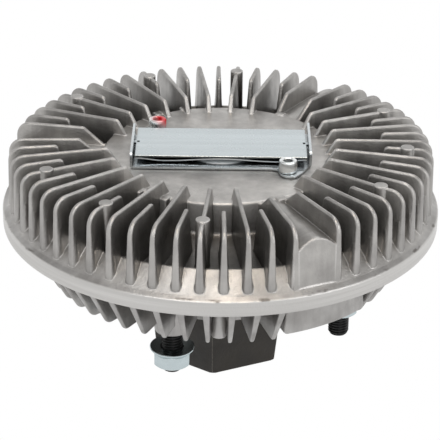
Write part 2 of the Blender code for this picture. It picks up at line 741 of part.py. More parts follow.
def rear_inside():
    """The hollow of the rear body: chamber floor, bearing seat and snap ring groove."""
    seat_r = BEARING_R + SEAT_GAP
    above_z = RIM_TOP_Z + RIM_LIP_T
    below_z = BOSS_BOTTOM_Z - BOSS_LIP
    mid_z = LEDGE_Z - WEB_MID_DROP
    hub_z = mid_z - WEB_HUB_DROP
    groove_low_z = SNAP_RING_Z - SEAT_GAP
    slope = WEB_MID_DROP / (WEB_RIM_R - WEB_MID_R)
    outline = [
        (REAR_FIN_FOOT_R, above_z),
        (REAR_FIN_FOOT_R, LEDGE_Z + slope * (REAR_FIN_FOOT_R - WEB_RIM_R)),
        (WEB_MID_R, mid_z),
        (BOSS_R, hub_z),
        (BOSS_SHOULDER_R, hub_z - WEB_T),
        (BOSS_SHOULDER_R, BEARING_TOP_Z + SEAT_GAP),
        (seat_r, BEARING_TOP_Z + SEAT_GAP),
        (seat_r, BEARING_Z),
        (seat_r + SNAP_GROOVE_DEPTH, BEARING_Z),
        (seat_r + SNAP_GROOVE_DEPTH, groove_low_z),
        (seat_r, groove_low_z),
        (seat_r, below_z),
        (0.0, below_z),
        (0.0, above_z),
    ]
    return turned("rear_inside", outline, CORE_STEPS, FACET_TURN, cutters)


def rim_inside():
    """The bore that takes the cover's flange, and the lip rolled over it."""
    above_z = RIM_TOP_Z + RIM_LIP_T
    outline = [
        (LIP_R, above_z),
        (LIP_R, LIP_Z),
        (RIM_BORE_R, LIP_Z),
        (RIM_BORE_R, LEDGE_Z),
        (0.0, LEDGE_Z),
        (0.0, above_z),
    ]
    return turned("rim_inside", outline, RIM_STEPS, FACET_TURN, cutters)


def stud_holes():
    shape = bmesh.new()
    top_z = FAN_SEAT_Z + STUD_DEPTH + SEAT_GAP
    for _, x, y in stud_places():
        put_prism(shape, STUD_SIDES, STUD_HOLE_R, STUD_HOLE_R, FAN_SEAT_Z - WEB_T, top_z, x, y)
    return add_object("stud_holes", finished_mesh("stud_holes", shape), cutters)


def rear_body():
    mid_z = LEDGE_Z - WEB_MID_DROP - WEB_T
    hub_z = mid_z - WEB_HUB_DROP
    rim_inner_r = WEB_RIM_R - WEB_OVERLAP
    rim = [
        (RIM_R, RIM_TOP_Z),
        (RIM_R, RIM_BOTTOM_Z),
        (rim_inner_r, RIM_BOTTOM_Z),
        (rim_inner_r, RIM_TOP_Z + RIM_LIP_RISE),
        (LIP_R, RIM_TOP_Z + RIM_LIP_RISE),
    ]
    outline = [
        (REAR_FIN_FOOT_R, LEDGE_Z + WEB_OVERLAP),
        (WEB_RIM_R, LEDGE_Z - WEB_T),
        (WEB_MID_R, mid_z),
        (BOSS_R, hub_z),
        (BOSS_R, BOSS_BOTTOM_Z + BOSS_LEAD),
        (BOSS_R - BOSS_LEAD, BOSS_BOTTOM_Z),
        (0.0, BOSS_BOTTOM_Z),
        (0.0, LEDGE_Z + WEB_OVERLAP),
    ]
    body = turned("rear_body", rim, RIM_STEPS, FACET_TURN, parts)
    combine(body, turned("rear_web", outline, CORE_STEPS, FACET_TURN, cutters), "UNION")
    combine(body, rear_fins(), "UNION")
    combine(body, rear_bosses(), "UNION")
    combine(body, rear_pads(), "UNION")
    combine(body, rear_posts(), "UNION")
    combine(body, rim_inside(), "DIFFERENCE")
    combine(body, rear_inside(), "DIFFERENCE")
    combine(body, stud_holes(), "DIFFERENCE")
    return body


def rim_seal():
    """A rubber ring in the corner between the cover's flange and the rear body's rim."""
    centre_r = RIM_BORE_R - SEAL_GAP - SEAL_R
    centre_z = LEDGE_Z + SEAL_GAP + SEAL_R
    outline = arc(centre_r, centre_z, SEAL_R, 0, -270, 3)
    return turned("rim_seal_ring", outline, RIM_STEPS, FACET_TURN, parts)


def input_hub():
    shape = bmesh.new()
    top_r = HEX_CORNER_R + HEX_H * HEX_DRAFT
    put_prism(shape, 6, HEX_CORNER_R, top_r, 0.0, HEX_H, turn=HEX_TURN)
    hub = add_object("input_hub", finished_mesh("input_hub", shape), parts)
    lead_r = HEX_CORNER_R - HEX_CHAMFER
    clear_r = top_r + HEX_CHAMFER
    rise = (clear_r - lead_r) * HEX_CHAMFER / (clear_r - lead_r + HEX_CHAMFER)
    envelope = [(lead_r, -rise / 2), (clear_r, HEX_CHAMFER * 2), (clear_r, HEX_H * 2)]
    envelope += [(0.0, HEX_H * 2), (0.0, -rise / 2)]
    envelope.reverse()
    chamfer = turned("hub_chamfer", envelope, CORE_STEPS, FACET_TURN, cutters)
    combine(hub, chamfer, "INTERSECT")
    seat_r = BEARING_BORE_R - SEAT_GAP
    nose_top_z = PLATE_TOP_Z + SEAT_GAP + LOCK_RING_T + SHAFT_NOSE_PROUD
    shaft = [
        (SHAFT_NOSE_R - SHAFT_NOSE_LEAD, nose_top_z),
        (SHAFT_NOSE_R, nose_top_z - SHAFT_NOSE_LEAD),
        (SHAFT_NOSE_R, BEARING_TOP_Z),
        (seat_r, BEARING_TOP_Z),
        (seat_r, BEARING_Z - SEAT_GAP),
        (HUB_COLLAR_R, BEARING_Z - SEAT_GAP),
        (HUB_COLLAR_R, HEX_H / 2),
        (0.0, HEX_H / 2),
        (0.0, nose_top_z),
    ]
    combine(hub, turned("hub_shaft", shaft, CORE_STEPS, FACET_TURN, cutters), "UNION")
    bore = [
        (HUB_BORE_R, HUB_BORE_DEPTH),
        (HUB_BORE_R, HUB_BORE_LEAD),
        (HUB_BORE_R + 2 * HUB_BORE_LEAD, -HUB_BORE_LEAD),
        (0.0, -HUB_BORE_LEAD),
        (0.0, HUB_BORE_DEPTH + HUB_BORE_LEAD),
    ]
    combine(hub, turned("hub_bore", bore, CORE_STEPS, FACET_TURN, cutters), "DIFFERENCE")
    return hub


def bearing_ring(name, inner_r, outer_r, groove_outside):
    """A race with a round groove for the balls on its outer or its inner side."""
    middle_z = BEARING_Z + BEARING_W / 2
    land_r = outer_r if groove_outside else inner_r
    reach = abs(BALL_PLACE_R - land_r)
    half = math.degrees(math.acos(reach / BALL_GROOVE_R))
    if groove_outside:
        groove = arc(BALL_PLACE_R, middle_z, BALL_GROOVE_R, 180 - half, 180 + half, 4)
    else:
        groove = arc(BALL_PLACE_R, middle_z, BALL_GROOVE_R, -half, half, 4)
    top_z = BEARING_TOP_Z
    if groove_outside:
        outline = [(outer_r, top_z), *groove, (outer_r, BEARING_Z), (inner_r, BEARING_Z), (inner_r, top_z)]
    else:
        outline = [
            (outer_r - BEARING_LEAD, top_z),
            (outer_r, top_z - BEARING_LEAD),
            (outer_r, BEARING_Z + BEARING_LEAD),
            (outer_r - BEARING_LEAD, BEARING_Z),
            (inner_r, BEARING_Z),
            *groove,
            (inner_r, top_z),
        ]
    return turned(name, outline, CORE_STEPS, FACET_TURN, parts)


def bearing_balls():
    middle_z = BEARING_Z + BEARING_W / 2
    shape = bmesh.new()
    bmesh.ops.create_icosphere(shape, subdivisions=2, radius=BALL_R)
    mesh = finished_mesh("bearing_ball", shape)
    mesh.materials.append(finish_colour("polished_steel", (0.62, 0.62, 0.64), 0.12, 1.0))
    mesh.shade_smooth()
    for number, (angle, x, y) in enumerate(ring_places(BALL_COUNT, 0.0, BALL_PLACE_R), 1):
        ball = add_object(f"bearing_ball_{number}", mesh, parts)
        ball.location = (x, y, middle_z)
        ball.rotation_euler = (0.0, 0.0, math.radians(angle))


def bearing_cage():
    middle_z = BEARING_Z + BEARING_W / 2
    pocket_r = BALL_GROOVE_R / math.cos(math.pi / 8)
    half_h = BALL_GROOVE_R + CAGE_RIM
    outline = [
        (BALL_PLACE_R + CAGE_T / 2, middle_z + half_h),
        (BALL_PLACE_R + CAGE_T / 2, middle_z - half_h),
        (BALL_PLACE_R - CAGE_T / 2, middle_z - half_h),
        (BALL_PLACE_R - CAGE_T / 2, middle_z + half_h),
    ]
    cage = turned("bearing_cage", outline, BALL_COUNT * 2, -90.0, parts)
    shape = bmesh.new()
    for angle, x, y in ring_places(BALL_COUNT, 0.0, BALL_PLACE_R):
        made = bmesh.ops.create_cone(
            shape, cap_ends=True, segments=8, radius1=pocket_r, radius2=pocket_r, depth=CAGE_T * 3
        )
        lay = Matrix.Rotation(math.radians(90), 4, "X") @ Matrix.Rotation(math.pi / 8, 4, "Z")
        spin = Matrix.Rotation(math.radians(angle), 4, "Z")
        place = Matrix.Translation((x, y, middle_z))
        bmesh.ops.transform(shape, matrix=place @ spin @ lay, verts=made["verts"])
    pockets = add_object("cage_pockets", finished_mesh("cage_pockets", shape), cutters)
    return combine(cage, pockets, "DIFFERENCE")


def bearing_shield(name, low_z):
    inner_r = INNER_LAND_R + SEAT_GAP
    outer_r = OUTER_LAND_R - SEAT_GAP
    outline = [
        (outer_r, low_z + SHIELD_T),
        (outer_r, low_z),
        (inner_r, low_z),
        (inner_r, low_z + SHIELD_T),
    ]
    return turned(name, outline, CORE_STEPS, FACET_TURN, parts)


def snap_ring():
    outer_r = BEARING_R + SEAT_GAP + SNAP_GROOVE_DEPTH - SEAT_GAP
    inner_r = outer_r - SNAP_RING_W
    outline = [
        (outer_r, SNAP_RING_Z + SNAP_RING_T),
        (outer_r, SNAP_RING_Z),
        (inner_r, SNAP_RING_Z),
        (inner_r, SNAP_RING_Z + SNAP_RING_T),
    ]
    ring = turned("bearing_snap_ring", outline, CORE_STEPS, FACET_TURN, parts)
    gap = prism(
        "snap_ring_gap",
        cutters,
        4,
        SNAP_RING_W * 1.5,
        SNAP_RING_W * 1.5,
        SNAP_RING_Z - SNAP_RING_T,
        SNAP_RING_Z + 2 * SNAP_RING_T,
        *on_circle(outer_r, 180.0),
        45.0,
    )
    return combine(ring, gap, "DIFFERENCE")


def clutch_plate():
    """The driven disc, with rings that run between the cover's rings in the fluid."""
    bore_r = SHAFT_NOSE_R + SEAT_GAP
    outline = [(bore_r, PLATE_TOP_Z)]
    for radius in ridge_radii(RIDGE_PITCH / 2):
        half = RIDGE_T / 2
        tip_z = PLATE_TOP_Z + RIDGE_H
        outline += [(radius - half, PLATE_TOP_Z), (radius - half, tip_z)]
        outline += [(radius + half, tip_z), (radius + half, PLATE_TOP_Z)]
    outline += [
        (PLATE_R, PLATE_TOP_Z),
        (PLATE_R, PLATE_BACK_Z),
        (PLATE_BOSS_R, PLATE_BACK_Z),
        (PLATE_BOSS_R, PLATE_BOSS_Z),
        (bore_r, PLATE_BOSS_Z),
    ]
    return turned("clutch_plate", outline, PLATE_STEPS, FACET_TURN, parts)


def plate_lock_ring():
    bore_r = SHAFT_NOSE_R + SEAT_GAP
    low_z = PLATE_TOP_Z + SEAT_GAP
    outline = [
        (LOCK_RING_R, low_z + LOCK_RING_T),
        (LOCK_RING_R, low_z),
        (bore_r, low_z),
        (bore_r, low_z + LOCK_RING_T),
    ]
    return turned("plate_lock_ring", outline, CORE_STEPS, FACET_TURN, parts)


def separator_plate():
    outline = [
        (SEPARATOR_R, SEPARATOR_TOP_Z),
        (SEPARATOR_R, SEPARATOR_Z),
        (0.0, SEPARATOR_Z),
        (0.0, SEPARATOR_TOP_Z),
    ]
    plate = turned("separator_plate", outline, PLATE_STEPS, FACET_TURN, parts)
    shape = bmesh.new()
    low_z = SEPARATOR_Z - SEPARATOR_T
    high_z = SEPARATOR_TOP_Z + SEPARATOR_T
    put_prism(shape, BORE_SIDES, PORT_R, PORT_R, low_z, high_z, PORT_PLACE, 0.0)
    rivet_hole_r = RIVET_R + SEAT_GAP
    put_prism(shape, BORE_SIDES, rivet_hole_r, rivet_hole_r, low_z, high_z, -ARM_PIVOT, 0.0)
    screw_hole_r = PLATE_SCREW_R + SEAT_GAP
    for _, x, y in plate_screw_places():
        put_prism(shape, BORE_SIDES, screw_hole_r, screw_hole_r, low_z, high_z, x, y)
    holes = add_object("separator_holes", finished_mesh("separator_holes", shape), cutters)
    return combine(plate, holes, "DIFFERENCE")


def headed_pin(name, x, y, shank_r, shank_low_z, shank_high_z, heads, sides):
    """A shank along Z with a round head at each place in heads: radius, low and high."""
    pin = prism(name, parts, sides, shank_r, shank_r, shank_low_z, shank_high_z, x, y)
    for number, (head_r, low_z, high_z) in enumerate(heads):
        head = prism(f"{name}_head_{number}", cutters, sides, head_r, head_r, low_z, high_z, x, y)
        combine(pin, head, "UNION")
    return pin


def separator_screws():
    screws = []
    head_top_z = SEPARATOR_Z - SEAT_GAP
    head_low_z = head_top_z - PLATE_SCREW_HEAD_H
    shank_low_z = head_top_z - PLATE_SCREW_HEAD_H / 2
    shank_high_z = SEPARATOR_TOP_Z + PLATE_SCREW_L - SEAT_GAP
    for number, (_, x, y) in enumerate(plate_screw_places(), 1):
        heads = [(PLATE_SCREW_HEAD_R, head_low_z, head_top_z)]
        name = f"separator_screw_{number}"
        screws.append(headed_pin(name, x, y, PLATE_SCREW_R, shank_low_z, shank_high_z, heads, BORE_SIDES))
    return screws


def valve_arm():
    """A flat spring arm that covers the port and is lifted off it by the pin."""
    half = ARM_W / 2
    tail_x = -ARM_PIVOT - ARM_TAIL
    nose = arc(ARM_END - half, 0.0, half, -90, 90, 6)
    outline = [(tail_x, -half), *nose, (tail_x, half)]
    arm = flat_slab("valve_arm", outline, ARM_Z, ARM_Z + ARM_T, parts)
    hole_r = RIVET_R + SEAT_GAP
    low_z = ARM_Z - ARM_T
    high_z = ARM_Z + 2 * ARM_T
    hole = prism("arm_hole", cutters, BORE_SIDES, hole_r, hole_r, low_z, high_z, -ARM_PIVOT)
    return combine(arm, hole, "DIFFERENCE")


def valve_arm_rivet():
    upper_z = ARM_Z + ARM_T + SEAT_GAP
    lower_z = SEPARATOR_Z - SEAT_GAP
    heads = [
        (RIVET_HEAD_R, upper_z, upper_z + RIVET_HEAD_T),
        (RIVET_HEAD_R, lower_z - RIVET_HEAD_T, lower_z),
    ]
    low_z = lower_z - RIVET_HEAD_T / 2
    high_z = upper_z + RIVET_HEAD_T / 2
    return headed_pin("valve_arm_rivet", -ARM_PIVOT, 0.0, RIVET_R, low_z, high_z, heads, BORE_SIDES)


def valve_pin():
    low_z = ARM_Z + ARM_T + SEAT_GAP
    high_z = LEAF_TOP_Z - LEAF_T - SEAT_GAP
    return prism("valve_pin", parts, BORE_SIDES, PIN_R, PIN_R, low_z, high_z, turn=FACET_TURN)


def pin_seal():
    outline = arc(PIN_R + SEAL_GAP + PIN_SEAL_R, PIN_SEAL_Z, PIN_SEAL_R, 0, -270, 3)
    return turned("pin_seal_ring", outline, BORE_SIDES, FACET_TURN, parts)


def bracket_ears():
    """Rounded tabs at two opposite corners of the base, one round each screw."""
    shape = bmesh.new()
    inside_y = BRACKET_HALF_W - 2 * BRACKET_T
    for side in (1, -1):
        rounded = arc(EAR_X, -EAR_Y, EAR_R, 180, EAR_ARC_END, 6)
        outline = [(EAR_X - EAR_R, -inside_y), *rounded, (BRACKET_HALF_L - BRACKET_BEND_R, -inside_y)]
        corners = [(x * side, y * side, BRACKET_Z) for x, y in outline]
        face = shape.faces.new([shape.verts.new(corner) for corner in corners])
        pulled = bmesh.ops.extrude_face_region(shape, geom=[face])["geom"]
        lifted = [item for item in pulled if isinstance(item, bmesh.types.BMVert)]
        bmesh.ops.translate(shape, vec=(0, 0, BRACKET_T), verts=lifted)
    return add_object("bracket_ears", finished_mesh("bracket_ears", shape), cutters)


def bracket_openings():
    """Screw holes, the pin's hole and the slots that the strip's tongues enter."""
    shape = bmesh.new()
    low_z = BRACKET_Z - BRACKET_T
    high_z = BRACKET_TOP_Z + BRACKET_T / 2
    hole_r = BRACKET_SCREW_R + SEAT_GAP
    for _, x, y in screw_places():
        put_prism(shape, BOSS_SIDES, hole_r, hole_r, low_z, high_z, x, y)
    put_prism(shape, BORE_SIDES, BRACKET_PIN_HOLE_R, BRACKET_PIN_HOLE_R, low_z, high_z)
    slot_half_w = TONGUE_W / 2 + SEAT_GAP
    for side in (1, -1):
        made = bmesh.ops.create_cube(shape, size=1.0)
        size = Matrix.Diagonal((BRACKET_T * 4, 2 * slot_half_w, STRIP_T + 2 * SEAT_GAP, 1.0))
        place = Matrix.Translation((side * BRACKET_HALF_L, 0.0, STRIP_Z + STRIP_T / 2))
        bmesh.ops.transform(shape, matrix=place @ size, verts=made["verts"])
    return add_object("bracket_openings", finished_mesh("bracket_openings", shape), cutters)


def end_wall_cuts():
    """Each end wall stops short of one corner of the base, the one by the far screw."""
    shape = bmesh.new()
    for side in (1, -1):
        made = bmesh.ops.create_cube(shape, size=1.0)
        size = Matrix.Diagonal((BRACKET_BEND_R * 4, END_WALL_CUT * 2, END_WALL_H * 2, 1.0))
        middle_z = BRACKET_Z + BRACKET_BEND_R + BRACKET_T + END_WALL_H
        place = Matrix.Translation((side * BRACKET_HALF_L, -side * BRACKET_HALF_W, middle_z))
        bmesh.ops.transform(shape, matrix=place @ size, verts=made["verts"])
    return add_object("end_wall_cuts", finished_mesh("end_wall_cuts", shape), cutters)


def strip_bracket():
    """A tray folded from sheet: a base plate with an end wall turned up at each end."""
    bend_x = BRACKET_HALF_L - BRACKET_BEND_R
    bend_z = BRACKET_Z + BRACKET_BEND_R
    top_z = BRACKET_Z + END_WALL_H
    right = [*arc(bend_x, bend_z, BRACKET_BEND_R, -90, 0, 2), (BRACKET_HALF_L, top_z)]
    left = [(-x, z) for x, z in reversed(right)]
    folded = left + right
    shape = bmesh.new()
    near = [shape.verts.new((x, -BRACKET_HALF_W, z)) for x, z in folded]
    far = [shape.verts.new((x, BRACKET_HALF_W, z)) for x, z in folded]
    for number in range(len(folded) - 1):
        shape.faces.new((near[number], near[number + 1], far[number + 1], far[number]))
    bracket = add_object("strip_bracket", finished_mesh("strip_bracket", shape), parts)
    thicken = bracket.modifiers.new("Sheet", "SOLIDIFY")
    thicken.thickness = BRACKET_T
    thicken.offset = 1.0 if bracket.data.polygons[3].normal.z > 0 else -1.0
    thicken.use_even_offset = True
    combine(bracket, bracket_ears(), "UNION")
    combine(bracket, bracket_openings(), "DIFFERENCE")
    combine(bracket, end_wall_cuts(), "DIFFERENCE")
    return bracket


def bracket_screw(name, x, y):
    head_low_z = BRACKET_TOP_Z + SEAT_GAP
    head_high_z = head_low_z + BRACKET_SCREW_HEAD_H
    heads = [(BRACKET_SCREW_HEAD_R, head_low_z, head_high_z)]
    shank_low_z = FACE_Z - BRACKET_SCREW_L
    shank_high_z = head_low_z + BRACKET_SCREW_R
    screw = headed_pin(name, x, y, BRACKET_SCREW_R, shank_low_z, shank_high_z, heads, BOSS_SIDES)
    socket_low_z = head_high_z - BRACKET_SCREW_SOCKET_DEPTH
    socket_high_z = head_high_z + BRACKET_SCREW_SOCKET_DEPTH
    socket_r = BRACKET_SCREW_SOCKET_R
    socket = prism(f"{name}_socket", cutters, 6, socket_r, socket_r, socket_low_z, socket_high_z, x, y)
    return combine(screw, socket, "DIFFERENCE")


def bimetal_strip():
    half_l = STRIP_L / 2
    half_w = STRIP_W / 2
    tongue = TONGUE_W / 2
    end = half_l + TONGUE_L
    right = [(half_l, -half_w), (half_l, -tongue), (end, -tongue)]
    right += [(end, tongue), (half_l, tongue), (half_l, half_w)]
    left = [(-x, -y) for x, y in right]
    return flat_slab("bimetal_strip", right + left, STRIP_Z, STRIP_Z + STRIP_T, parts)


def backing_leaf():
    """A thin wavy leaf under the strip that touches it at the middle and at the ends."""
    half_l = LEAF_L / 2
    steps = 8
    top = []
    for step in range(2 * steps + 1):
        x = half_l * (step / steps - 1)
        if abs(x) < LEAF_VALLEY:
            share = x / LEAF_VALLEY
        else:
            share = (half_l - abs(x)) / (half_l - LEAF_VALLEY)
        top.append((x, LEAF_TOP_Z - LEAF_DIP * (1 - math.cos(math.pi * share)) / 2))
    bottom = [(x, z - LEAF_T) for x, z in reversed(top)]
    shape = bmesh.new()
    put_plate(shape, top + bottom, lambda z: LEAF_W)
    return add_object("backing_leaf", finished_mesh("backing_leaf", shape), parts)


def fan_stud(number, x, y):
    low_z = FAN_SEAT_Z - STUD_PROUD
    high_z = FAN_SEAT_Z + STUD_DEPTH
    outline = [
        (STUD_R - STUD_LEAD, high_z),
        (STUD_R, high_z - STUD_LEAD),
        (STUD_R, low_z + STUD_LEAD),
        (STUD_R - STUD_LEAD, low_z),
        (0.0, low_z),
        (0.0, high_z),
    ]
    stud = turned(f"fan_stud_{number}", outline, STUD_SIDES, 0.0, parts)
    stud.location = (x, y, 0.0)
    return stud


def fan_nut(number, x, y, seat_z):
    """A hexagon nut with a washer flange on the side that meets the fan."""
    flats_r = NUT_ACROSS_FLATS / math.sqrt(3)
    flange_low_z = seat_z - NUT_FLANGE_T
    cone_low_z = flange_low_z - NUT_CONE_H
    low_z = seat_z - NUT_H
    top_z = seat_z - NUT_FLANGE_T / 2
    nut = prism(f"fan_nut_{number}", parts, 6, flats_r, flats_r, low_z, top_z, turn=NUT_TURN)
    flange = [
        (NUT_FLANGE_R, seat_z),
        (NUT_FLANGE_R, flange_low_z),
        (NUT_ACROSS_FLATS / 2, cone_low_z),
        (0.0, cone_low_z),
        (0.0, seat_z),
    ]
    combine(nut, turned(f"nut_flange_{number}", flange, BOSS_SIDES, 0.0, cutters), "UNION")
    hole_r = STUD_R + SEAT_GAP
    hole = prism(f"nut_hole_{number}", cutters, STUD_SIDES, hole_r, hole_r, low_z - NUT_H, seat_z + NUT_H)
    combine(nut, hole, "DIFFERENCE")
    for piece in (nut, *(step.object for step in nut.modifiers)):
        piece.location = (x, y, 0.0)
    return nut


def paint(pieces, material):
    for piece in pieces:
        piece.data.materials.append(material)


clear_scene()
parts = new_collection("viscous_fan_clutch")
cutters = new_collection("cutters")

cast_aluminium = finish_colour("cast_aluminium", (0.42, 0.41, 0.40), 0.45, 0.9)
zinc_plate = finish_colour("zinc_plate", (0.72, 0.76, 0.77), 0.28, 1.0)
black_steel = finish_colour("black_steel", (0.02, 0.02, 0.02), 0.4, 0.6)
dark_hub = finish_colour("dark_hub", (0.05, 0.045, 0.04), 0.5, 0.4)
bearing_steel = finish_colour("bearing_steel", (0.55, 0.55, 0.57), 0.2, 1.0)
sheet_steel = finish_colour("sheet_steel", (0.5, 0.5, 0.5), 0.35, 1.0)
seal_rubber = finish_colour("seal_rubber", (0.02, 0.02, 0.02), 0.8, 0.0)

paint([front_cover(), rear_body(), clutch_plate()], cast_aluminium)
paint([rim_seal(), pin_seal()], seal_rubber)
paint([input_hub()], dark_hub)
paint([bearing_ring("bearing_inner_ring", BEARING_BORE_R, INNER_LAND_R, True)], bearing_steel)
paint([bearing_ring("bearing_outer_ring", OUTER_LAND_R, BEARING_R, False)], bearing_steel)
bearing_balls()
paint([bearing_cage(), snap_ring(), plate_lock_ring()], sheet_steel)
paint([bearing_shield("bearing_shield_lower", BEARING_Z + SHIELD_INSET)], sheet_steel)
paint([bearing_shield("bearing_shield_upper", BEARING_TOP_Z - SHIELD_INSET - SHIELD_T)], sheet_steel)
paint([separator_plate(), *separator_screws(), valve_arm(), valve_arm_rivet(), valve_pin()], sheet_steel)
paint([strip_bracket(), bimetal_strip(), backing_leaf()], zinc_plate)
paint([bracket_screw(f"bracket_screw_{end}", x, y) for end, x, y in screw_places()], zinc_plate)
for number, (_, x, y) in enumerate(stud_places(), 1):
    back_off = NUT_BACK_OFF if number == 1 else SEAT_GAP
    paint([fan_stud(number, x, y)], black_steel)
    paint([fan_nut(number, x, y, FAN_SEAT_Z - back_off)], zinc_plate)
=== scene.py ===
import math

import bmesh
import bpy
from mathutils import Matrix


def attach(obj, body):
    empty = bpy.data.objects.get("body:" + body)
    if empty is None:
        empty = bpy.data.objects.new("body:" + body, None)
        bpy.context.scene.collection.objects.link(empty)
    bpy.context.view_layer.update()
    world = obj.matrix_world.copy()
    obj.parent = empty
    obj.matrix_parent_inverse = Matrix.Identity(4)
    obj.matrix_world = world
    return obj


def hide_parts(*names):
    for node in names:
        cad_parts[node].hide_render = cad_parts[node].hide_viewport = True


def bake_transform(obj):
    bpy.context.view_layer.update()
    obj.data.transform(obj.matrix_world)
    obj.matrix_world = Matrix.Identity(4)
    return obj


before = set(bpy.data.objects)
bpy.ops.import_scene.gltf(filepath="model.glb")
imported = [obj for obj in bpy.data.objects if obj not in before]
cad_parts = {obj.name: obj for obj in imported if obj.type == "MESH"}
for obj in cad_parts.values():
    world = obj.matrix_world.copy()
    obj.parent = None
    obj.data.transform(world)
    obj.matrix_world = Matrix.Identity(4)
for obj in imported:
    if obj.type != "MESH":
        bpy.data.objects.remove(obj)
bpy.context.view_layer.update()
scene = bpy.context.scene
MM = 0.001


# Studio: a white table and room, four soft lamps, and the camera at the photo's angle.
# The camera looks down at the shaft axis, at the height of the rim's top.
CAMERA_DISTANCE = 0.9696
CAMERA_ELEVATION = math.radians(25.39)
CAMERA_ROLL = 0.0127
AIM_Z = 83.8 * MM


def add_piece(name, mesh):
    piece = bpy.data.objects.new(name, mesh)
    scene.collection.objects.link(piece)
    return piece


def add_camera():
    lens = bpy.data.cameras.new("photo_camera")
    lens.lens = 153.36
    lens.sensor_width = 36.0
    lens.shift_x = -0.0012
    lens.shift_y = -0.0486
    lens.clip_start = 0.01
    camera = bpy.data.objects.new("photo_camera", lens)
    scene.collection.objects.link(camera)
    back = Matrix.Translation((0.0, 0.0, CAMERA_DISTANCE))
    tilt = Matrix.Rotation(math.pi / 2 - CAMERA_ELEVATION, 4, "X")
    roll = Matrix.Rotation(CAMERA_ROLL, 4, "Z")
    camera.matrix_world = Matrix.Translation((0.0, 0.0, AIM_Z)) @ tilt @ back @ roll
    scene.camera = camera


def add_lamp(name, place, size, power, colour=(1.0, 1.0, 1.0)):
    light = bpy.data.lights.new(name, "AREA")
    light.shape = "DISK"
    light.size = size
    light.energy = power
    light.color = colour
    lamp = bpy.data.objects.new(name, light)
    scene.collection.objects.link(lamp)
    aim = Matrix.Translation((0.0, 0.0, AIM_Z)).translation - Matrix.Translation(place).translation
    turn = aim.to_track_quat("-Z", "Y").to_matrix().to_4x4()
    lamp.matrix_world = Matrix.Translation(place) @ turn


def seen_directly(nodes, links):
    """One for rays that should meet the plain white room: camera, mirror and glass rays."""
    path = nodes.new("ShaderNodeLightPath")
    total = nodes.new("ShaderNodeMath")
    total.operation = "MAXIMUM"
    links.new(path.outputs["Is Camera Ray"], total.inputs[0])
    links.new(path.outputs["Is Glossy Ray"], total.inputs[1])
    both = nodes.new("ShaderNodeMath")
    both.operation = "MAXIMUM"
    links.new(total.outputs[0], both.inputs[0])
    links.new(path.outputs["Is Transmission Ray"], both.inputs[1])
    return both.outputs[0]


def room_in_mirror(nodes, links):
    """White to the camera. Metal sees a bright ceiling with a dimmer band below it."""
    place = nodes.new("ShaderNodeTexCoord")
    split = nodes.new("ShaderNodeSeparateXYZ")
    links.new(place.outputs["Generated"], split.inputs[0])
    bands = nodes.new("ShaderNodeValToRGB")
    links.new(split.outputs["Z"], bands.inputs["Fac"])
    elements = bands.color_ramp.elements
    for height, level in ((0.52, 1.0), (0.66, 0.36), (0.78, 0.36), (0.93, 1.0)):
        element = elements.new(height)
        element.color = (level, level, level, 1.0)
    elements[0].color = (1.0, 1.0, 1.0, 1.0)
    path = nodes.new("ShaderNodeLightPath")
    mix = nodes.new("ShaderNodeMix")
    mix.data_type = "RGBA"
    links.new(path.outputs["Is Glossy Ray"], mix.inputs["Factor"])
    mix.inputs["A"].default_value = (1.0, 1.0, 1.0, 1.0)
    links.new(bands.outputs["Color"], mix.inputs["B"])
    return mix.outputs["Result"]


def white_room():
    world = bpy.data.worlds.new("white_room")
    world.use_nodes = True
    scene.world = world
    nodes = world.node_tree.nodes
    links = world.node_tree.links
    nodes.clear()
    seen = nodes.new("ShaderNodeBackground")
    links.new(room_in_mirror(nodes, links), seen.inputs["Color"])
    fill = nodes.new("ShaderNodeBackground")
    fill.inputs["Color"].default_value = (0.96, 0.98, 1.0, 1.0)
    fill.inputs["Strength"].default_value = 0.45
    mix = nodes.new("ShaderNodeMixShader")
    out = nodes.new("ShaderNodeOutputWorld")
    links.new(seen_directly(nodes, links), mix.inputs["Fac"])
    links.new(fill.outputs[0], mix.inputs[1])
    links.new(seen.outputs[0], mix.inputs[2])
    links.new(mix.outputs[0], out.inputs["Surface"])


def white_table():
    mesh = bpy.data.meshes.new("table")
    reach = 6.0
    corners = [(-reach, -reach, 0), (reach, -reach, 0), (reach, reach, 0), (-reach, reach, 0)]
    mesh.from_pydata([(x, y, -0.0004) for x, y, z in corners], [], [(0, 1, 2, 3)])
    table = add_piece("table", mesh)
    material = bpy.data.materials.new("table_white")
    material.use_nodes = True
    nodes = material.node_tree.nodes
    links = material.node_tree.links
    matte = nodes["Principled BSDF"]
    matte.inputs["Base Color"].default_value = (0.72, 0.72, 0.72, 1.0)
    matte.inputs["Roughness"].default_value = 0.9
    glow = nodes.new("ShaderNodeEmission")
    glow.inputs["Color"].default_value = (1.0, 1.0, 1.0, 1.0)
    part = nodes.new("ShaderNodeMath")
    part.operation = "MULTIPLY"
    part.inputs[1].default_value = 1.0
    links.new(seen_directly(nodes, links), part.inputs[0])
    mix = nodes.new("ShaderNodeMixShader")
    links.new(part.outputs[0], mix.inputs["Fac"])
    links.new(matte.outputs[0], mix.inputs[1])
    links.new(glow.outputs[0], mix.inputs[2])
    links.new(mix.outputs[0], nodes["Material Output"].inputs["Surface"])
    mesh.materials.append(material)


add_camera()
white_room()
white_table()
add_lamp("key_lamp", (-0.45, -1.0, 1.3), 0.9, 5.5)
add_lamp("fill_lamp", (1.1, -0.8, 0.7), 1.0, 5.0)
add_lamp("back_lamp", (0.3, 0.75, 1.5), 0.9, 4.2)
add_lamp("front_lamp", (0.06, -0.46, 1.45), 0.42, 4.0, (1.0, 0.87, 0.73))
scene.view_settings.view_transform = "Standard"


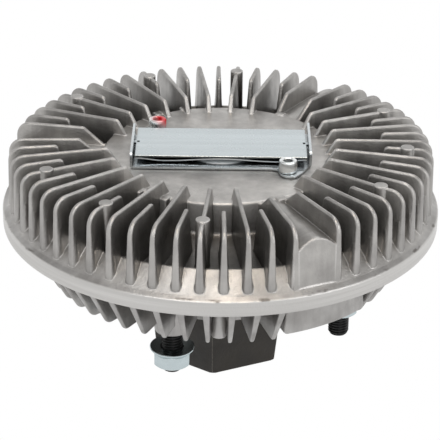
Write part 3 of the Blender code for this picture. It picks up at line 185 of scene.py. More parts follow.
# Front cover: one aluminium die casting, as cast, with fins round a bare round centre.
# It is turned inside for the fluid chamber, and its flange is gripped by the body's rim.
FACE_Z = 109.8
FLOOR_Z = 93.3
RIM_TOP_Z = 83.8
FIN_TOP_Z = 117.8
FIN_START = 1.08
FIN_STEP = 6.0
THIRD = 120.0


def fillet(outline, steps=4):
    """Rounds each corner that names a radius: (x, z) stays sharp, (x, z, radius) is rounded."""
    points = []
    count = len(outline)
    for number, corner in enumerate(outline):
        x, z = corner[0], corner[1]
        radius = corner[2] if len(corner) > 2 else 0.0
        if radius <= 0.0:
            points.append((x, z))
            continue
        before = outline[number - 1]
        after = outline[(number + 1) % count]
        ax, az = before[0] - x, before[1] - z
        bx, bz = after[0] - x, after[1] - z
        la, lb = math.hypot(ax, az), math.hypot(bx, bz)
        ax, az, bx, bz = ax / la, az / la, bx / lb, bz / lb
        cosine = max(-1.0, min(1.0, ax * bx + az * bz))
        half = math.acos(cosine) / 2
        run = min(radius / math.tan(half), 0.49 * la, 0.49 * lb)
        true_r = run * math.tan(half)
        mx, mz = ax + bx, az + bz
        lm = math.hypot(mx, mz)
        far = true_r / math.sin(half)
        cx, cz = x + mx / lm * far, z + mz / lm * far
        start = math.atan2(z + az * run - cz, x + ax * run - cx)
        end = math.atan2(z + bz * run - cz, x + bx * run - cx)
        sweep = (end - start + math.pi) % (2 * math.pi) - math.pi
        for step in range(steps + 1):
            turn = start + sweep * step / steps
            points.append((cx + true_r * math.cos(turn), cz + true_r * math.sin(turn)))
    return points


def finished(name, shape, smooth=True):
    """Closes, orients and scales a bmesh in millimetres into a mesh in metres."""
    bmesh.ops.remove_doubles(shape, verts=shape.verts, dist=1e-5)
    bmesh.ops.recalc_face_normals(shape, faces=shape.faces)
    bmesh.ops.scale(shape, vec=(MM, MM, MM), verts=shape.verts)
    mesh = bpy.data.meshes.new(name)
    shape.to_mesh(mesh)
    shape.free()
    if smooth:
        mesh.shade_smooth()
        mesh.set_sharp_from_angle(angle=math.radians(32))
    return mesh


def put_loft(shape, rings, closed=False, place=None):
    """Skins rings of points, in millimetres. A ring of one point is a pole."""
    rows = []
    for ring in rings:
        rows.append([shape.verts.new(place @ Matrix.Translation(p).translation if place else p) for p in ring])
    pairs = list(zip(rows, rows[1:]))
    if closed:
        pairs.append((rows[-1], rows[0]))
    for low, high in pairs:
        count = max(len(low), len(high))
        for i in range(count):
            j = (i + 1) % count
            if len(low) == 1:
                shape.faces.new((low[0], high[j], high[i]))
            elif len(high) == 1:
                shape.faces.new((low[i], low[j], high[0]))
            else:
                shape.faces.new((low[i], low[j], high[j], high[i]))
    return rows


def put_turned(shape, outline, steps, x=0.0, y=0.0):
    """Turns an outline of radius and height about an axis along Z. On the axis it closes to poles."""
    rings = []
    for radius, z in outline:
        if radius < 1e-6:
            rings.append([(x, y, z)])
            continue
        turns = [2 * math.pi * step / steps for step in range(steps)]
        rings.append([(x + radius * math.cos(t), y + radius * math.sin(t), z) for t in turns])
    open_ended = outline[0][0] < 1e-6 and outline[-1][0] < 1e-6
    put_loft(shape, rings, closed=not open_ended)


def put_slab(shape, outline, near, far, edge_r, place, steps=3):
    """A cast plate: a flat outline with thickness from near to far and rounded edges."""
    area = 0.0
    count = len(outline)
    for i in range(count):
        x0, z0 = outline[i]
        x1, z1 = outline[(i + 1) % count]
        area += x0 * z1 - x1 * z0
    if area < 0:
        outline = outline[::-1]
    inward = []
    for i in range(count):
        px, pz = outline[i - 1]
        x, z = outline[i]
        nx, nz = outline[(i + 1) % count]
        la = math.hypot(x - px, z - pz)
        lb = math.hypot(nx - x, nz - z)
        ux = -(z - pz) / la - (nz - z) / lb
        uz = (x - px) / la + (nx - x) / lb
        size = math.hypot(ux, uz)
        stretch = min(2.0 / max(size, 1e-6), 1.6)
        inward.append((ux / size * stretch, uz / size * stretch))
    layers = []
    for step in range(steps + 1):
        turn = math.pi / 2 * step / steps
        layers.append((edge_r * (1 - math.sin(turn)), edge_r * (1 - math.cos(turn))))
    rings = []
    for inset, depth in layers:
        ring = []
        for (x, z), (ix, iz) in zip(outline, inward):
            ring.append((x + ix * inset, near(x, z) + depth, z + iz * inset))
        rings.append(ring)
    for inset, depth in reversed(layers):
        ring = []
        for (x, z), (ix, iz) in zip(outline, inward):
            ring.append((x + ix * inset, far(x, z) - depth, z + iz * inset))
        rings.append(ring)
    rows = put_loft(shape, rings, place=place)
    shape.faces.new(rows[0][::-1])
    shape.faces.new(rows[-1])


def input_float(tree, name, value):
    socket = tree.interface.new_socket(name=name, in_out="INPUT", socket_type="NodeSocketFloat")
    socket.default_value = value
    return socket


def ring_tree():
    """Geometry Nodes: copies of a template round Z, leaving a gap in each cycle of the ring."""
    tree = bpy.data.node_groups.new("ring_of_copies", "GeometryNodeTree")
    face = tree.interface
    face.new_socket(name="Template", in_out="INPUT", socket_type="NodeSocketObject")
    count = face.new_socket(name="Count", in_out="INPUT", socket_type="NodeSocketInt")
    count.default_value = 12
    for name, value in (("First Angle", 0.0), ("Angle Step", 30.0), ("Cycle", 360.0)):
        input_float(tree, name, value)
    input_float(tree, "Gap From", 0.0)
    input_float(tree, "Gap To", -1.0)
    face.new_socket(name="Finish", in_out="INPUT", socket_type="NodeSocketMaterial")
    face.new_socket(name="Ring", in_out="OUTPUT", socket_type="NodeSocketGeometry")
    nodes, links = tree.nodes, tree.links
    given = nodes.new("NodeGroupInput")
    result = nodes.new("NodeGroupOutput")

    def sum_node(operation, first, second):
        node = nodes.new("ShaderNodeMath")
        node.operation = operation
        for socket, value in zip(node.inputs, (first, second)):
            if isinstance(value, (int, float)):
                socket.default_value = value
            else:
                links.new(value, socket)
        return node.outputs[0]

    points = nodes.new("GeometryNodePoints")
    links.new(given.outputs["Count"], points.inputs["Count"])
    index = nodes.new("GeometryNodeInputIndex")
    along = sum_node("MULTIPLY", index.outputs[0], given.outputs["Angle Step"])
    angle = sum_node("ADD", along, given.outputs["First Angle"])
    from_gap = sum_node("SUBTRACT", angle, given.outputs["Gap From"])
    in_cycle = sum_node("FLOORED_MODULO", from_gap, given.outputs["Cycle"])
    gap = sum_node("SUBTRACT", given.outputs["Gap To"], given.outputs["Gap From"])
    kept = sum_node("GREATER_THAN", in_cycle, gap)
    spin = sum_node("RADIANS", sum_node("SUBTRACT", angle, 90.0), 0.0)
    euler = nodes.new("ShaderNodeCombineXYZ")
    links.new(spin, euler.inputs["Z"])
    rotation = nodes.new("FunctionNodeEulerToRotation")
    links.new(euler.outputs[0], rotation.inputs[0])
    template = nodes.new("GeometryNodeObjectInfo")
    links.new(given.outputs["Template"], template.inputs["Object"])
    copies = nodes.new("GeometryNodeInstanceOnPoints")
    links.new(points.outputs[0], copies.inputs["Points"])
    links.new(kept, copies.inputs["Selection"])
    links.new(template.outputs["Geometry"], copies.inputs["Instance"])
    links.new(rotation.outputs[0], copies.inputs["Rotation"])
    real = nodes.new("GeometryNodeRealizeInstances")
    links.new(copies.outputs[0], real.inputs[0])
    finish = nodes.new("GeometryNodeSetMaterial")
    links.new(real.outputs[0], finish.inputs["Geometry"])
    links.new(given.outputs["Finish"], finish.inputs["Material"])
    links.new(finish.outputs[0], result.inputs[0])
    return tree


copy_ring = ring_tree()


def ring_mesh(template_mesh, finish, count, step, first, cycle=360.0, gap=(0.0, -1.0)):
    """Runs the ring tree on one template and returns the plain mesh it makes."""
    template = add_piece("ring_template", template_mesh)
    carrier = add_piece("ring_carrier", bpy.data.meshes.new("ring_carrier"))
    modifier = carrier.modifiers.new("Ring", "NODES")
    modifier.node_group = copy_ring
    values = {
        "Template": template,
        "Count": count,
        "First Angle": first,
        "Angle Step": step,
        "Cycle": cycle,
        "Gap From": gap[0],
        "Gap To": gap[1],
        "Finish": finish,
    }
    for item in copy_ring.interface.items_tree:
        if item.item_type == "SOCKET" and item.in_out == "INPUT":
            modifier[item.identifier] = values[item.name]
    bpy.context.view_layer.update()
    graph = bpy.context.evaluated_depsgraph_get()
    mesh = bpy.data.meshes.new_from_object(carrier.evaluated_get(graph))
    carrier.modifiers.remove(modifier)
    bpy.data.objects.remove(carrier)
    bpy.data.objects.remove(template)
    return mesh


def joined(name, meshes, finish):
    """Joins meshes into one finished piece at the origin."""
    shape = bmesh.new()
    for mesh in meshes:
        shape.from_mesh(mesh)
    for face in shape.faces:
        face.material_index = 0
    whole = bpy.data.meshes.new(name)
    shape.to_mesh(whole)
    shape.free()
    whole.materials.clear()
    whole.materials.append(finish)
    whole.shade_smooth()
    whole.set_sharp_from_angle(angle=math.radians(32))
    return add_piece(name, whole)


def new_finish(name):
    material = bpy.data.materials.new(name)
    material.use_nodes = True
    nodes = material.node_tree.nodes
    return material, nodes, material.node_tree.links, nodes["Principled BSDF"]


def noise(nodes, links, scale, detail=4.0, stretch=(1.0, 1.0, 1.0)):
    """Noise on Object coordinates, stretched by an amount on each axis."""
    place = nodes.new("ShaderNodeTexCoord")
    mapping = nodes.new("ShaderNodeMapping")
    mapping.inputs["Scale"].default_value = stretch
    texture = nodes.new("ShaderNodeTexNoise")
    texture.inputs["Scale"].default_value = scale
    texture.inputs["Detail"].default_value = detail
    links.new(place.outputs["Object"], mapping.inputs["Vector"])
    links.new(mapping.outputs[0], texture.inputs["Vector"])
    return texture.outputs["Fac"]


def ramp(nodes, links, value, stops):
    """Colours along a value: stops are (place, colour)."""
    node = nodes.new("ShaderNodeValToRGB")
    links.new(value, node.inputs["Fac"])
    elements = node.color_ramp.elements
    while len(elements) < len(stops):
        elements.new(0.5)
    for element, (place, colour) in zip(elements, stops):
        element.position = place
        element.color = (*colour, 1.0) if len(colour) == 3 else colour
    return node.outputs["Color"]


def grey(level):
    return (level, level, level)


def radius_and_height(nodes, links):
    """Distance from the shaft axis and height of the shaded point."""
    place = nodes.new("ShaderNodeTexCoord")
    flat = nodes.new("ShaderNodeVectorMath")
    flat.operation = "MULTIPLY"
    flat.inputs[1].default_value = (1.0, 1.0, 0.0)
    links.new(place.outputs["Object"], flat.inputs[0])
    length = nodes.new("ShaderNodeVectorMath")
    length.operation = "LENGTH"
    links.new(flat.outputs[0], length.inputs[0])
    split = nodes.new("ShaderNodeSeparateXYZ")
    links.new(place.outputs["Object"], split.inputs[0])
    return length.outputs["Value"], split.outputs["Z"]


def map_range(nodes, links, value, start, end, low=0.0, high=1.0):
    node = nodes.new("ShaderNodeMapRange")
    for socket, number in (("From Min", start), ("From Max", end), ("To Min", low), ("To Max", high)):
        node.inputs[socket].default_value = number
    links.new(value, node.inputs["Value"])
    return node.outputs[0]


JOINT_STOPS = [(0.0, (0.0, 0.0, 0.0)), (0.1, (1.0, 1.0, 1.0)), (0.7, (1.0, 1.0, 1.0)), (0.85, (0.0, 0.0, 0.0))]
CHIP_STOPS = [(0.2, (0.0, 0.0, 0.0)), (0.45, (1.0, 1.0, 1.0)), (0.75, (1.0, 1.0, 1.0)), (0.95, (0.0, 0.0, 0.0))]


def cast_finish(name, dark, light, edge, roughness, grain, round_r):
    """Sand-grey cast aluminium: patchy tone, fine pits, and edges that stand out bright, partly as wear from rubbing
    and partly as a painted highlight.
    """
    material, nodes, links, shader = new_finish(name)
    patches = ramp(nodes, links, noise(nodes, links, 62.0, 7.0), [(0.28, dark), (0.72, light)])
    streaks = map_range(nodes, links, noise(nodes, links, 260.0, 4.0, (1.0, 1.0, 0.22)), 0.3, 0.7, 0.88, 1.07)
    tone = nodes.new("ShaderNodeVectorMath")
    tone.operation = "SCALE"
    links.new(patches, tone.inputs[0])
    links.new(streaks, tone.inputs["Scale"])
    soft = nodes.new("ShaderNodeBevel")
    soft.samples = 4
    soft.inputs["Radius"].default_value = round_r
    geometry = nodes.new("ShaderNodeNewGeometry")
    radius, _ = radius_and_height(nodes, links)
    joint = ramp(nodes, links, map_range(nodes, links, radius, 0.1086, 0.1120), JOINT_STOPS)
    smooth = nodes.new("ShaderNodeMix")
    smooth.data_type = "VECTOR"
    links.new(joint, smooth.inputs["Factor"])
    links.new(soft.outputs[0], smooth.inputs["A"])
    links.new(geometry.outputs["Normal"], smooth.inputs["B"])
    turn = nodes.new("ShaderNodeVectorMath")
    turn.operation = "DOT_PRODUCT"
    links.new(smooth.outputs["Result"], turn.inputs[0])
    links.new(geometry.outputs["Normal"], turn.inputs[1])
    worn = ramp(nodes, links, turn.outputs["Value"], [(0.86, grey(1.0)), (0.99, grey(0.0))])
    nook = nodes.new("ShaderNodeAmbientOcclusion")
    nook.samples = 4
    nook.inputs["Distance"].default_value = 0.0022
    stands_out = ramp(nodes, links, nook.outputs["AO"], [(0.77, grey(0.04)), (0.94, grey(1.0))])
    # Painted highlight and wear: convex edges, found from the Bevel normal and kept out of nooks by ambient occlusion,
    # are lightened towards the edge tone.
    rubbed_and_highlit = nodes.new("ShaderNodeMath")
    rubbed_and_highlit.operation = "MULTIPLY"
    links.new(worn, rubbed_and_highlit.inputs[0])
    links.new(stands_out, rubbed_and_highlit.inputs[1])
    mix = nodes.new("ShaderNodeMix")
    mix.data_type = "RGBA"
    links.new(rubbed_and_highlit.outputs[0], mix.inputs["Factor"])
    links.new(tone.outputs[0], mix.inputs["A"])
    mix.inputs["B"].default_value = (*edge, 1.0)
    links.new(mix.outputs["Result"], shader.inputs["Base Color"])
    rough = ramp(
        nodes, links, noise(nodes, links, 90.0), [(0.3, grey(roughness - 0.06)), (0.7, grey(roughness + 0.08))]
    )
    links.new(rough, shader.inputs["Roughness"])
    shader.inputs["Metallic"].default_value = 0.9
    bump = nodes.new("ShaderNodeBump")
    bump.inputs["Strength"].default_value = grain
    bump.inputs["Distance"].default_value = 0.0003
    links.new(noise(nodes, links, 900.0, 4.0), bump.inputs["Height"])
    links.new(smooth.outputs["Result"], bump.inputs["Normal"])
    links.new(bump.outputs[0], shader.inputs["Normal"])
    return material


def paint_shade_between_fins(material):
    """Painted shade between the fins, darkest low down by the floor, with a ragged edge where it stops at the skirt;
    the skirt is left as it is and the round centre comes out a little lighter.
    """
    nodes, links = material.node_tree.nodes, material.node_tree.links
    shader = nodes["Principled BSDF"]
    radius, height = radius_and_height(nodes, links)
    # Painted shade: the colour is scaled down towards the floor between the fins.
    deep = map_range(nodes, links, height, FLOOR_Z * MM, (FLOOR_Z + 17.0) * MM, 0.52, 0.93)
    centre = map_range(nodes, links, radius, 0.0605, 0.062, 1.14, 0.0)
    ragged = nodes.new("ShaderNodeMath")
    ragged.operation = "MULTIPLY_ADD"
    ragged.inputs[1].default_value = 0.0016
    links.new(noise(nodes, links, 260.0, 3.0), ragged.inputs[0])
    links.new(radius, ragged.inputs[2])
    skirt = map_range(nodes, links, ragged.outputs[0], 0.1001, 0.1010)
    level = deep
    for other in (skirt, centre):
        higher = nodes.new("ShaderNodeMath")
        higher.operation = "MAXIMUM"
        links.new(level, higher.inputs[0])
        links.new(other, higher.inputs[1])
        level = higher.outputs[0]
    plain = shader.inputs["Base Color"].links[0].from_socket
    tinted = nodes.new("ShaderNodeVectorMath")
    tinted.operation = "SCALE"
    links.new(plain, tinted.inputs[0])
    links.new(level, tinted.inputs["Scale"])
    links.new(tinted.outputs[0], shader.inputs["Base Color"])


cover_finish = cast_finish(
    "cover_cast_aluminium", (0.30, 0.29, 0.28), (0.47, 0.457, 0.44), (0.80, 0.79, 0.77), 0.38, 0.5, 0.0009
)
paint_shade_between_fins(cover_finish)


def fin_half(z):
    """Half the thickness of a drafted fin at a height."""
    return 1.05 + (FIN_TOP_Z - z) / (FIN_TOP_Z - RIM_TOP_Z) * 1.15


def fin_mesh(top_r, foot_r, foot_z, root_r, top_z=FIN_TOP_Z):
    """A fin seen from its side: inner foot, top, rounded outer corner, skirt foot and root."""
    outline = [
        (foot_r, foot_z),
        (top_r, top_z, 2.2),
        (108.05, FIN_TOP_Z - 0.6, 7.2),
        (108.7, RIM_TOP_Z + 1.5, 0.8),
        (100.0, 91.2),
    ]
    if root_r != foot_r:
        outline += [(root_r, 91.2), (root_r, foot_z)]
    shape = bmesh.new()
    put_slab(shape, fillet(outline, 6), lambda x, z: -fin_half(z), lambda x, z: fin_half(z), 0.85, Matrix())
    return finished("fin", shape)


def fin_nose_mesh():
    """The round nose at a fin's outer foot, which widens as it meets the skirt."""
    outline = [(0.0, 83.6), (2.65, 83.6), (2.6, 87.5), (1.9, 96.0), (1.4, 102.0), (0.0, 102.0)]
    shape = bmesh.new()
    put_turned(shape, outline, 24, 106.15, 0.0)
    return finished("fin_nose", shape)


def cover_shell():
    """The casting without its fins: face, floor, skirt, flange, and the turned chamber."""
    outline = [
        (2.3, FACE_Z, 0.2),
        (60.6, FACE_Z, 1.3),
        (61.7, FLOOR_Z, 2.2),
        (98.4, FLOOR_Z, 0.6),
        (98.9, FLOOR_Z + 1.3, 0.3),
        (99.8, FLOOR_Z + 1.25, 0.4),
        (109.4, RIM_TOP_Z + 1.3),
        (109.4, 82.0),
        (110.5, 82.0),
        (110.5, 81.5),
        (107.3, 78.3),
        (104.3, 78.3),
        (104.3, 83.8),
        (100.2, 89.3, 1.0),
    ]
    for radius in (81.5, 68.5):
        outline += [(radius + 1.3, 89.3), (radius + 1.3, 82.9), (radius - 1.3, 82.9), (radius - 1.3, 89.3)]
    outline += [
        (56.8, 89.3),
        (56.8, 91.7),
        (53.5, 91.7),
        (53.5, 105.8, 1.5),
        (8.0, 105.8),
        (8.0, 98.0),
        (2.3, 98.0),
        (2.3, 100.9),
        (4.2, 100.9),
        (4.2, 103.1),
        (2.3, 103.1),
    ]
    shape = bmesh.new()
    put_turned(shape, fillet(outline), 240)
    for turn in (0.0, 120.0, 240.0):
        x = 46.0 * math.cos(math.radians(turn))
        y = 46.0 * math.sin(math.radians(turn))
        put_turned(shape, [(1.8, 91.8), (4.5, 91.8), (4.5, 107.0), (1.8, 107.0)], 24, x, y)
    for side in (1, -1):
        x, y = 33.4 * side, -25.4 * side
        put_turned(shape, [(2.8, 97.9), (5.5, 97.9), (5.5, 107.0), (2.8, 107.0)], 24, x, y)
    return finished("cover_shell", shape)


def hump_mesh():
    """An arched ridge over a return passage, with a flat drafted face at its outer end."""
    side_z = FACE_Z - 5.8
    face_r = 107.4
    edge = 0.9

    def section(share, sink, back):
        radius = 57.0 + (face_r - 57.0) * share
        half = radius * math.tan(math.radians(FIN_STEP)) + 1.0
        rise = 5.3 + 0.9 * share
        ring = [(-half, 85.5)]
        for step in range(25):
            y = half * (step / 12 - 1)
            ring.append((y, side_z + rise * math.cos(y / 11.5 * math.pi / 2) - sink))
        ring.append((half, 85.5))
        draft = 0.05 if share == 1.0 else 0.0
        return [(radius - back + (side_z - z) * draft, y, z) for y, z in ring]

    rings = [section(share / 4, 0.0, 0.0) for share in range(4)]
    for step in range(5):
        turn = math.pi / 2 * step / 4
        rings.append(section(1.0, edge * (1 - math.cos(turn)), edge * (1 - math.sin(turn))))
    shape = bmesh.new()
    rows = put_loft(shape, rings)
    shape.faces.new(rows[0][::-1])
    shape.faces.new(rows[-1])
    return finished("hump", shape)


def ejector_pad_mesh():
    outline = [(0.0, 117.75), (2.5, 117.9), (3.4, 117.9, 0.35), (3.55, 91.5), (0.0, 91.5)]
    shape = bmesh.new()
    put_turned(shape, fillet(outline), 28, 94.5, 0.0)
    return finished("ejector_pad", shape)


def edge_pillar(x):
    """A square pillar with drafted sides that runs up the edge of the round centre."""
    outline = [(x - 3.0, FACE_Z - 1.0), (x - 2.6, FACE_Z + 0.5, 0.6), (x + 2.2, FACE_Z + 0.3, 0.7), (x + 3.4, 92.0)]
    outline.append((x - 3.0, 92.0))
    shape = bmesh.new()
    put_slab(shape, fillet(outline), lambda x, z: -2.5, lambda x, z: 2.5, 0.5, Matrix())
    return finished("edge_pillar", shape)


def make_cover():
    long_fin = fin_mesh(58.5, 52.6, FACE_Z - 1.5, 58.5)
    beside_hump = fin_mesh(72.3, 62.0, FACE_Z - 1.0, 58.5, FIN_TOP_Z - 0.4)
    short_fin = fin_mesh(83.2, 77.5, 91.2, 77.5, FIN_TOP_Z - 0.2)
    hump_gap = (FIN_START + 2.5 * FIN_STEP, FIN_START + 5.5 * FIN_STEP)
    hump_slot = (FIN_START + 3.5 * FIN_STEP, FIN_START + 4.5 * FIN_STEP)
    rings = [
        cover_shell(),
        ring_mesh(long_fin, cover_finish, 30, 12.0, FIN_START + FIN_STEP, THIRD, hump_gap),
        ring_mesh(short_fin, cover_finish, 30, 12.0, FIN_START, THIRD, hump_slot),
        ring_mesh(beside_hump, cover_finish, 3, THIRD, FIN_START + 3 * FIN_STEP),
        ring_mesh(beside_hump, cover_finish, 3, THIRD, FIN_START + 5 * FIN_STEP),
        ring_mesh(hump_mesh(), cover_finish, 3, THIRD, FIN_START + 4 * FIN_STEP),
        ring_mesh(fin_nose_mesh(), cover_finish, 60, FIN_STEP, FIN_START, THIRD, hump_slot),
        ring_mesh(ejector_pad_mesh(), cover_finish, 12, 30.0, FIN_START + 24.0, THIRD, hump_slot),
        ring_mesh(edge_pillar(61.2), cover_finish, 3, THIRD, -26.5),
        ring_mesh(edge_pillar(61.2), cover_finish, 3, THIRD, -40.9),
        ring_mesh(edge_pillar(61.2), cover_finish, 3, THIRD, 28.7),
    ]
    cover = joined("cover_casting", rings, cover_finish)
    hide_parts("front_cover")
    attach(cover, "housing")


make_cover()


# Rear body: the second aluminium casting, whose rim is turned bright and rolled over the cover.
# Behind it are the rear fins, smooth arc pads, posts, four fan bosses and the bearing boss.
RIM_BOTTOM_Z = 75.7
REAR_TIP_Z = 47.4
STUD_ANGLES = [-20.5 + 90.0 * number for number in range(4)]
STUD_PLACE_R = 66.3
FAN_SEAT_Z = 41.5
ARC_START = 20.1
ARC_SPAN = 31.0


def at_angle(radius, angle):
    """X and Y in millimetres at an angle in degrees, counted from -Y towards +X."""
    turn = math.radians(angle)
    return radius * math.sin(turn), -radius * math.cos(turn)


def body_finish():
    """Cast aluminium, with the rim's outside turned on a lathe: fine rings and a brighter tone."""
    material = cast_finish(
        "body_cast_aluminium", (0.28, 0.27, 0.26), (0.47, 0.46, 0.45), (0.52, 0.51, 0.50), 0.38, 0.5, 0.0009
    )
    nodes, links = material.node_tree.nodes, material.node_tree.links
    shader = nodes["Principled BSDF"]
    radius, height = radius_and_height(nodes, links)
    wall = map_range(nodes, links, radius, 0.1112, 0.1118)
    cast_colour = shader.inputs["Base Color"].links[0].from_socket
    mix = nodes.new("ShaderNodeMix")
    mix.data_type = "RGBA"
    links.new(wall, mix.inputs["Factor"])
    links.new(cast_colour, mix.inputs["A"])
    rings = noise(nodes, links, 30.0, 3.0, (0.4, 0.4, 22.0))
    turned_tone = [(0.3, (0.52, 0.51, 0.495)), (0.7, (0.61, 0.60, 0.585))]
    links.new(ramp(nodes, links, rings, turned_tone), mix.inputs["B"])
    band = ramp(nodes, links, map_range(nodes, links, height, 0.0826, 0.0846), CHIP_STOPS)
    spots = ramp(nodes, links, noise(nodes, links, 85.0, 5.0, (1.0, 1.0, 2.2)), [(0.56, grey(0.0)), (0.63, grey(0.85))])
    chip = nodes.new("ShaderNodeMath")
    chip.operation = "MULTIPLY"
    links.new(band, chip.inputs[0])
    links.new(spots, chip.inputs[1])
    chipped = nodes.new("ShaderNodeMix")
    chipped.data_type = "RGBA"
    links.new(chip.outputs[0], chipped.inputs["Factor"])
    links.new(mix.outputs["Result"], chipped.inputs["A"])
    chipped.inputs["B"].default_value = (0.12, 0.11, 0.10, 1.0)
    links.new(chipped.outputs["Result"], shader.inputs["Base Color"])
    cast_rough = shader.inputs["Roughness"].links[0].from_socket
    rough = nodes.new("ShaderNodeMix")
    links.new(wall, rough.inputs["Factor"])
    links.new(cast_rough, rough.inputs["A"])
    rough.inputs["B"].default_value = 0.36
    links.new(rough.outputs["Result"], shader.inputs["Roughness"])
    return material


def rear_shell():
    """Rim, web and bearing boss, with the turned chamber, bearing seat and snap ring groove."""
    outline = [
        (108.95, RIM_TOP_Z + 1.61),
        (112.0, RIM_TOP_Z - 0.5, 0.7),
        (112.0, RIM_BOTTOM_Z, 0.8),
        (105.0, RIM_BOTTOM_Z, 1.0),
        (100.0, 73.0, 1.5),
        (60.0, 70.0, 4.0),
        (42.0, 67.2, 3.0),
        (42.0, 34.6, 1.0),
        (36.3, 34.6, 0.4),
        (36.3, 36.9),
        (37.6, 36.9),
        (37.6, 38.7),
        (36.3, 38.7),
        (36.3, 56.0),
        (32.0, 56.0),
        (32.0, 67.2),
        (42.0, 72.2),
        (60.0, 75.0),
        (100.0, 78.0),
        (110.8, 78.0),
        (110.8, 82.3),
        (109.42, 82.3),
        (109.42, RIM_TOP_Z + 1.1),
    ]
    shape = bmesh.new()
    put_turned(shape, fillet(outline), 240)
    return finished("rear_shell", shape)


def rear_fin_mesh():
    """A straight fin under the web, with its tip cut level and its outer end sloping to the rim."""
    outline = [
        (46.0, 72.0),
        (48.0, 60.0),
        (55.0, REAR_TIP_Z, 3.0),
        (87.9, REAR_TIP_Z, 5.0),
        (103.9, 76.0),
        (100.0, 76.9),
        (86.0, 73.5),
    ]
    shape = bmesh.new()

    def half(x, z):
        return 0.9 + (z - REAR_TIP_Z) / (RIM_BOTTOM_Z - REAR_TIP_Z) * 1.1

    put_slab(shape, fillet(outline), lambda x, z: -half(x, z), half, 0.75, Matrix())
    return finished("rear_fin", shape)


def arc_pad_mesh():
    """A smooth arc-shaped pad between the fins, cut away when the clutch is balanced."""
    shape = bmesh.new()
    steps = 20
    ends = (ARC_START, ARC_START + ARC_SPAN)
    angles = [ARC_START + 2.5 + (ARC_SPAN - 5.0) * step / steps for step in range(steps + 1)]
    outer = [at_angle(92.6, angle) for angle in angles]
    outer = [(*at_angle(92.6, ends[0]), 2.6), *outer, (*at_angle(92.6, ends[1]), 2.6)]
    inner = [at_angle(74.0, angle) for angle in reversed(angles)]
    inner = [(*at_angle(74.0, ends[1]), 2.0), *inner, (*at_angle(74.0, ends[0]), 2.0)]
    swap = Matrix(((1, 0, 0, 0), (0, 0, 1, 0), (0, 1, 0, 0), (0, 0, 0, 1)))
    put_slab(shape, fillet(outer + inner), lambda x, z: 52.4, lambda x, z: 74.0, 1.3, swap)
    bmesh.ops.rotate(shape, cent=(0, 0, 0), matrix=Matrix.Rotation(math.pi / 2, 3, "Z"), verts=shape.verts)
    return finished("arc_pad", shape)


def stud_boss_mesh():
    outline = [
        (5.6, FAN_SEAT_Z, 0.4),
        (8.8, FAN_SEAT_Z, 0.7),
        (9.9, 72.5),
        (5.6, 72.5),
    ]
    shape = bmesh.new()
    put_turned(shape, fillet(outline), 48, STUD_PLACE_R, 0.0)
    return finished("stud_boss", shape)


def post_mesh():
    shape = bmesh.new()
    put_turned(shape, fillet([(0.0, 50.2), (3.7, 50.2, 0.8), (4.4, 74.5), (0.0, 74.5)]), 32, 84.0, 0.0)
    return finished("rear_post", shape)


def make_rear_body():
    finish = body_finish()
    pad_gap = (ARC_START - 1.8, ARC_START + ARC_SPAN + 1.7)
    fins = ring_mesh(rear_fin_mesh(), finish, 51, 360 / 51, -3.5, THIRD, pad_gap)
    parts = [
        rear_shell(),
        fins,
        ring_mesh(arc_pad_mesh(), finish, 3, THIRD, 0.0),
        ring_mesh(stud_boss_mesh(), finish, 4, 90.0, STUD_ANGLES[0]),
        ring_mesh(post_mesh(), finish, 3, THIRD, 0.03),
    ]
    body = joined("rear_casting", parts, finish)
    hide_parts("rear_body")
    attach(body, "housing")


make_rear_body()


# Input hub: a forged steel hexagon with a blind bore, dark from its phosphate coat.
# Its shaft goes up through the bearing and carries the clutch plate on a splined nose.
HEX_H = 33.4
HEX_TURN = -5.0


def hexagon_r(apothem, turn, crispness=70.0):
    """Radius of a hexagon with rounded corners at an angle in radians from its corner."""
    total = 0.0
    for side in range(6):
        facing = math.cos(turn - math.radians(30 + 60 * side))
        if facing > 0:
            total += facing ** crispness
    return apothem * total ** (-1 / crispness)


def ring_at(radius, z, steps=144, x=0.0, y=0.0):
    turns = [2 * math.pi * step / steps for step in range(steps)]
    return [(x + radius(t) * math.cos(t), y + radius(t) * math.sin(t), z) for t in turns]


def hub_mesh():
    start = math.radians(HEX_TURN - 90)

    def hexagon(z, cap=1000.0):
        apothem = (35.6 + z * 0.115) * math.cos(math.pi / 6)
        return lambda t: min(hexagon_r(apothem, t - start, 300.0), cap)

    rings = [[(0.0, 0.0, 30.0)], ring_at(lambda t: 14.0, 27.0), ring_at(lambda t: 14.0, 2.0)]
    rings.append(ring_at(lambda t: 16.0, 0.0))
    rings.append(ring_at(hexagon(0.0, 34.9), 0.0))
    for z in (0.3, 0.8):
        rings.append(ring_at(hexagon(z, 35.1 + z), z))
    for z in (8.0, 16.0, 24.0, 31.0, HEX_H - 0.6):
        rings.append(ring_at(hexagon(z), z))
    rings.append(ring_at(hexagon(HEX_H, 37.4), HEX_H - 0.1))
    rings.append(ring_at(lambda t: 34.0, HEX_H))
    shaft = [(22.3, 33.4), (21.5, 34.2), (21.5, 38.4), (17.2, 38.4), (17.2, 55.7), (15.0, 55.7)]
    shaft += [(15.0, 84.9), (14.0, 85.9)]
    for radius, z in shaft:
        rings.append(ring_at(lambda t, r=radius: r, z))
    rings.append([(0.0, 0.0, 85.9)])
    shape = bmesh.new()
    put_loft(shape, rings)
    return finished("hub_forging", shape)


